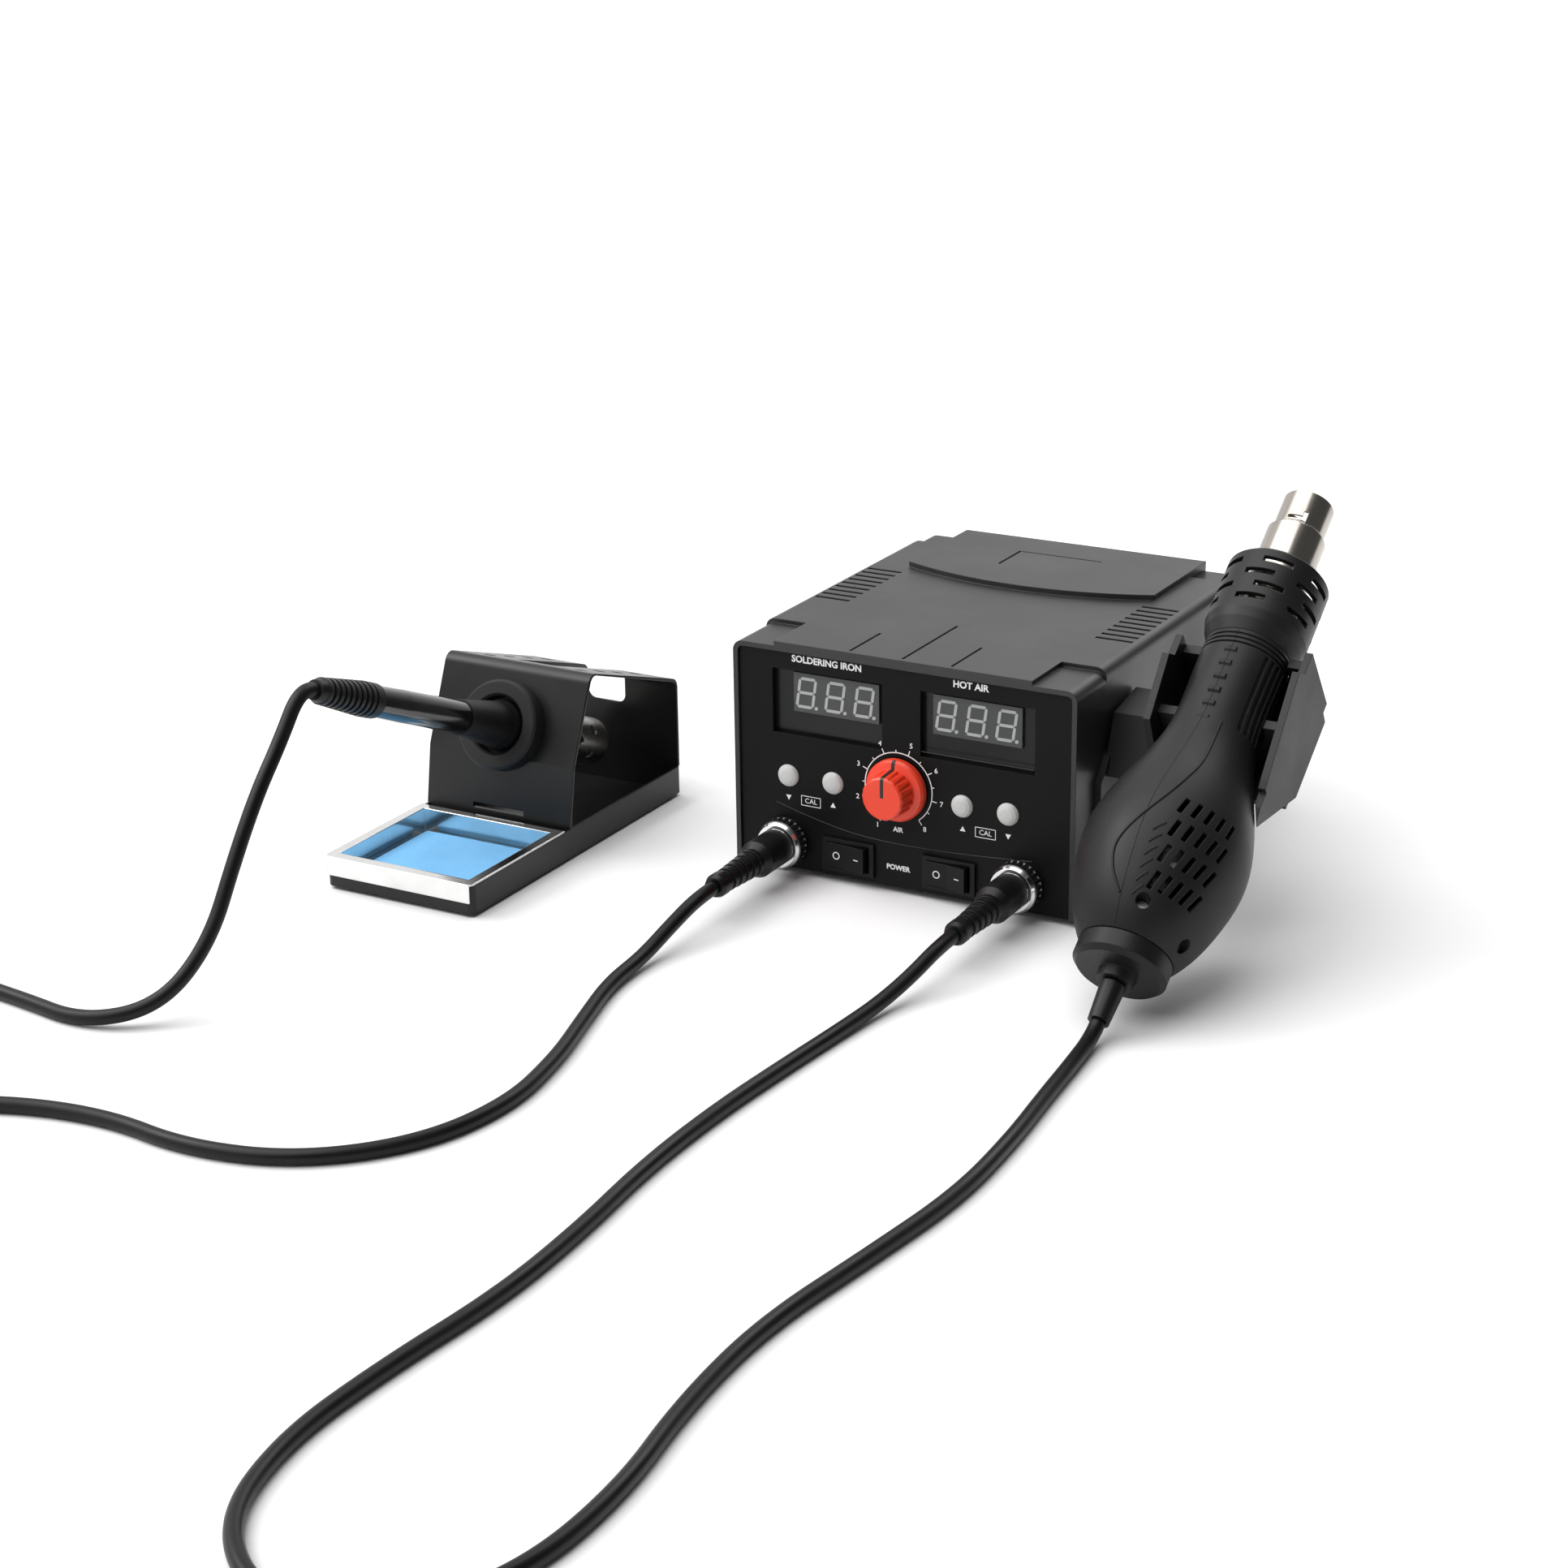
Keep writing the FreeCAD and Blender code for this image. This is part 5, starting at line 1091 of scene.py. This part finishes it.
class STATION_OT_pointer(bpy.types.Operator):
    """Inlay the black pointer over the knob's face and side"""
    bl_idname = "station.pointer"
    bl_label = "Knob Pointer"

    def execute(self, context):
        outer = [(15.05, 0.6), (15.05, 8.45), (14.23, 9.26), (5.28, 9.86), (4.66, 12.54), (3.5, 13.34)]
        inner = [(14.9, 0.6), (14.9, 8.3), (14.1, 8.95), (5.1, 9.6), (4.45, 12.3), (3.5, 13.1)]
        loop = outer + list(reversed(inner))
        bm = bmesh.new()
        sides = [[bm.verts.new(spot(DIAL[0] + x, PANEL_FACE - reach, DIAL[1] + rise)) for reach, rise in loop]
                 for x in (-0.75, 0.75)]
        count = len(outer)
        for i in range(count - 1):
            j = len(loop) - 1 - i
            for side in sides:
                bm.faces.new((side[i], side[i + 1], side[j - 1], side[j]))
        for i in range(len(loop)):
            j = (i + 1) % len(loop)
            bm.faces.new((sides[0][i], sides[0][j], sides[1][j], sides[1][i]))
        mesh = mesh_from(bm, "knob_pointer", outward=True)
        piece("knob_pointer", mesh, moulded("Pointer black", (0.008, 0.008, 0.008), 0.4, 0.5,
              radius=0.0001, depth=0.00001), "flow_knob")
        return {"FINISHED"}


class STATION_OT_rocker_marks(bpy.types.Operator):
    """Print a ring and a line on each rocker"""
    bl_idname = "station.rocker_marks"
    bl_label = "Rocker Marks"

    def execute(self, context):
        ink = sizes().ink
        for node, body, x in ROCKERS:
            ring = band(1.45, 0.42, 0, 360, ink, 32)
            ring.transform(Matrix.Translation(((x - 5.2) * MM, ROCKER_Z * MM, 0)))
            line = bar(x + 4.6, ROCKER_Z, 2.3, 0.42, ink)
            mesh = facing_front(merged(node + "_marks", [ring, line]), PANEL_FACE)
            piece(node + "_marks", drape(mesh, node, PANEL_FACE), ink_finish(), body)
        return {"FINISHED"}


class STATION_OT_gun_relief(bpy.types.Operator):
    """Raise the outline of the gun's hand flank and its short finger ribs"""
    bl_idname = "station.gun_relief"
    bl_label = "Gun Relief"

    def execute(self, context):
        shells = [surface_of("gun_shell_left"), surface_of("gun_shell_right")]
        material = bpy.data.materials["Gun moulding"]
        flank = [(24, 108), (24, 96), (22.5, 84), (16.5, 74), (10, 64), (3, 56), (-5, 48.5), (-11, 43),
                 (-15, 38), (-14.5, 33), (-12, 28.5), (-7, 24), (0, 19.5)]
        beads = [bead("flank", on_gun(shells, smooth(flank)), 0.55, material)]
        for i in range(6):
            s = 50.0 - 5.0 * i
            rib = [(15.5, s), (13.3, s - 1.2), (11.0, s - 2.6), (8.8, s - 4.2)]
            beads.append(bead("rib", on_gun(shells, smooth(rib)), 0.5, material))
        mesh = merged("gun_relief", beads)
        mesh.shade_smooth()
        piece("gun_relief", mesh, material, "gun")
        return {"FINISHED"}


class STATION_OT_seams(bpy.types.Operator):
    """Lay the fine moulded lines across the front panel, coloured lighter than the panel as a painted
    highlight
    """
    bl_idname = "station.seams"
    bl_label = "Panel Lines"

    def execute(self, context):
        # The lines are real raised relief in the panel's plastic; their colour, lighter than the panel's, is
        # a painted highlight along them.
        material = moulded("Panel line", (0.016, 0.016, 0.017), 0.3, 0.42, wear=0.0, radius=0.0001)
        lower = [(-59, 31.2), (-50, 28.6), (-40, 26.3), (-30, 24.2), (-20, 22.8), (-10, 22.2), (2, 22.0),
                 (20, 22.4), (40, 23.6), (59, 25.2)]
        upper = [(9, 64.2), (59, 64.2)]
        beads = []
        for name, points in (("lower", lower), ("upper", upper)):
            path = [spot(x, PANEL_FACE + 0.04, z) for x, z in smooth(points)]
            beads.append(bead(name, path, 0.16, material))
        piece("panel_lines", merged("panel_lines", beads), material, "case")
        return {"FINISHED"}


# ---------------------------------------------------------------- stage

def light(name, place, size, power, aim):
    """A soft square light that points at a spot, all in metres."""
    data = bpy.data.lights.new(name, "AREA")
    data.size = size
    data.energy = power
    obj = placed(name, data)
    obj.location = place
    obj.rotation_euler = (Vector(aim) - Vector(place)).to_track_quat("-Z", "Y").to_euler()


class STATION_OT_stage(bpy.types.Operator):
    """Set the pale floor, the soft lights and the camera"""
    bl_idname = "station.stage"
    bl_label = "Stage"

    def execute(self, context):
        scene = context.scene
        half = 8.0
        mesh = bpy.data.meshes.new("floor")
        mesh.from_pydata([(-half, -half, 0), (half, -half, 0), (half, half, 0), (-half, half, 0)], [],
                         [(0, 1, 2, 3)])
        floor = placed("floor", mesh)
        wear_finish(floor, moulded("Pale floor", (0.80, 0.80, 0.80), 0.7, 0.8, worn=(0.82, 0.82, 0.82),
                                   wear=0.0, depth=0.000001, specular=0.2))
        world = bpy.data.worlds.new("Soft room")
        scene.world = world
        world.use_nodes = True
        tree = world.node_tree
        tree.nodes["Background"].inputs["Color"].default_value = (1.0, 1.0, 1.0, 1.0)
        direction = tree.nodes.new("ShaderNodeTexCoord")
        split = tree.nodes.new("ShaderNodeSeparateXYZ")
        tree.links.new(direction.outputs["Generated"], split.inputs[0])
        tree.links.new(ramp(tree, split.outputs["X"], -0.25, 0.5, 0.95, 0.10),
                       tree.nodes["Background"].inputs["Strength"])
        sun = bpy.data.lights.new("broad sky light", "SUN")
        sun.energy = 2.4
        sun.angle = math.radians(70)
        lamp = placed("broad sky light", sun)
        lamp.rotation_euler = (Vector((0.35, 0.25, -1.0))).to_track_quat("-Z", "Y").to_euler()
        light("left soft box", (-1.3, -0.5, 1.2), 0.9, 9.0, (0, 0, 0.05))
        light("rear soft box", (0.2, 1.5, 1.6), 1.2, 12.0, (0, 0, 0.05))
        data = bpy.data.cameras.new("camera")
        data.lens = CAMERA_LENS
        data.sensor_width = 36.0
        data.clip_end = 50.0
        camera = placed("camera", data)
        back = Vector((math.sin(CAMERA_TURN) * math.cos(CAMERA_RISE),
                       -math.cos(CAMERA_TURN) * math.cos(CAMERA_RISE), math.sin(CAMERA_RISE)))
        right = Vector((math.cos(CAMERA_TURN), math.sin(CAMERA_TURN), 0.0))
        up = back.cross(right)
        across = right * math.cos(CAMERA_ROLL) + up * math.sin(CAMERA_ROLL)
        upward = up * math.cos(CAMERA_ROLL) - right * math.sin(CAMERA_ROLL)
        turn = Matrix((across, upward, back)).transposed().to_4x4()
        camera.matrix_world = Matrix.Translation(spot(*CAMERA_PLACE)) @ turn
        scene.camera = camera
        scene.view_settings.view_transform = "Standard"
        return {"FINISHED"}


OPERATORS = (
    STATION_OT_cords, STATION_OT_sponge, STATION_OT_case, STATION_OT_front, STATION_OT_inside,
    STATION_OT_stand, STATION_OT_iron, STATION_OT_gun, STATION_OT_displays, STATION_OT_lettering,
    STATION_OT_dial, STATION_OT_pointer, STATION_OT_rocker_marks, STATION_OT_seams, STATION_OT_gun_relief,
    STATION_OT_stage,
)


class STATION_PT_panel(bpy.types.Panel):
    """Lists the station's pieces"""
    bl_label = "Soldering Station"
    bl_idname = "STATION_PT_panel"
    bl_space_type = "VIEW_3D"
    bl_region_type = "UI"
    bl_category = "Station"

    def draw(self, context):
        column = self.layout.column(align=True)
        for kind in OPERATORS:
            column.operator(kind.bl_idname)
        for group in (context.scene.station_sizes, context.scene.station_colours):
            for name in group.__annotations__:
                self.layout.prop(group, name)


CLASSES = (StationSizes, StationColours, *OPERATORS, STATION_PT_panel)


def register():
    """Adds the classes and their settings."""
    for kind in CLASSES:
        bpy.utils.register_class(kind)
    bpy.types.Scene.station_sizes = PointerProperty(type=StationSizes)
    bpy.types.Scene.station_colours = PointerProperty(type=StationColours)


def unregister():
    """Takes the classes and their settings away."""
    del bpy.types.Scene.station_sizes
    del bpy.types.Scene.station_colours
    for kind in reversed(CLASSES):
        bpy.utils.unregister_class(kind)


def main():
    """Makes every piece in order."""
    register()
    for kind in OPERATORS:
        getattr(bpy.ops.station, kind.bl_idname.split(".")[1])()


if __name__ == "__main__":
    main()
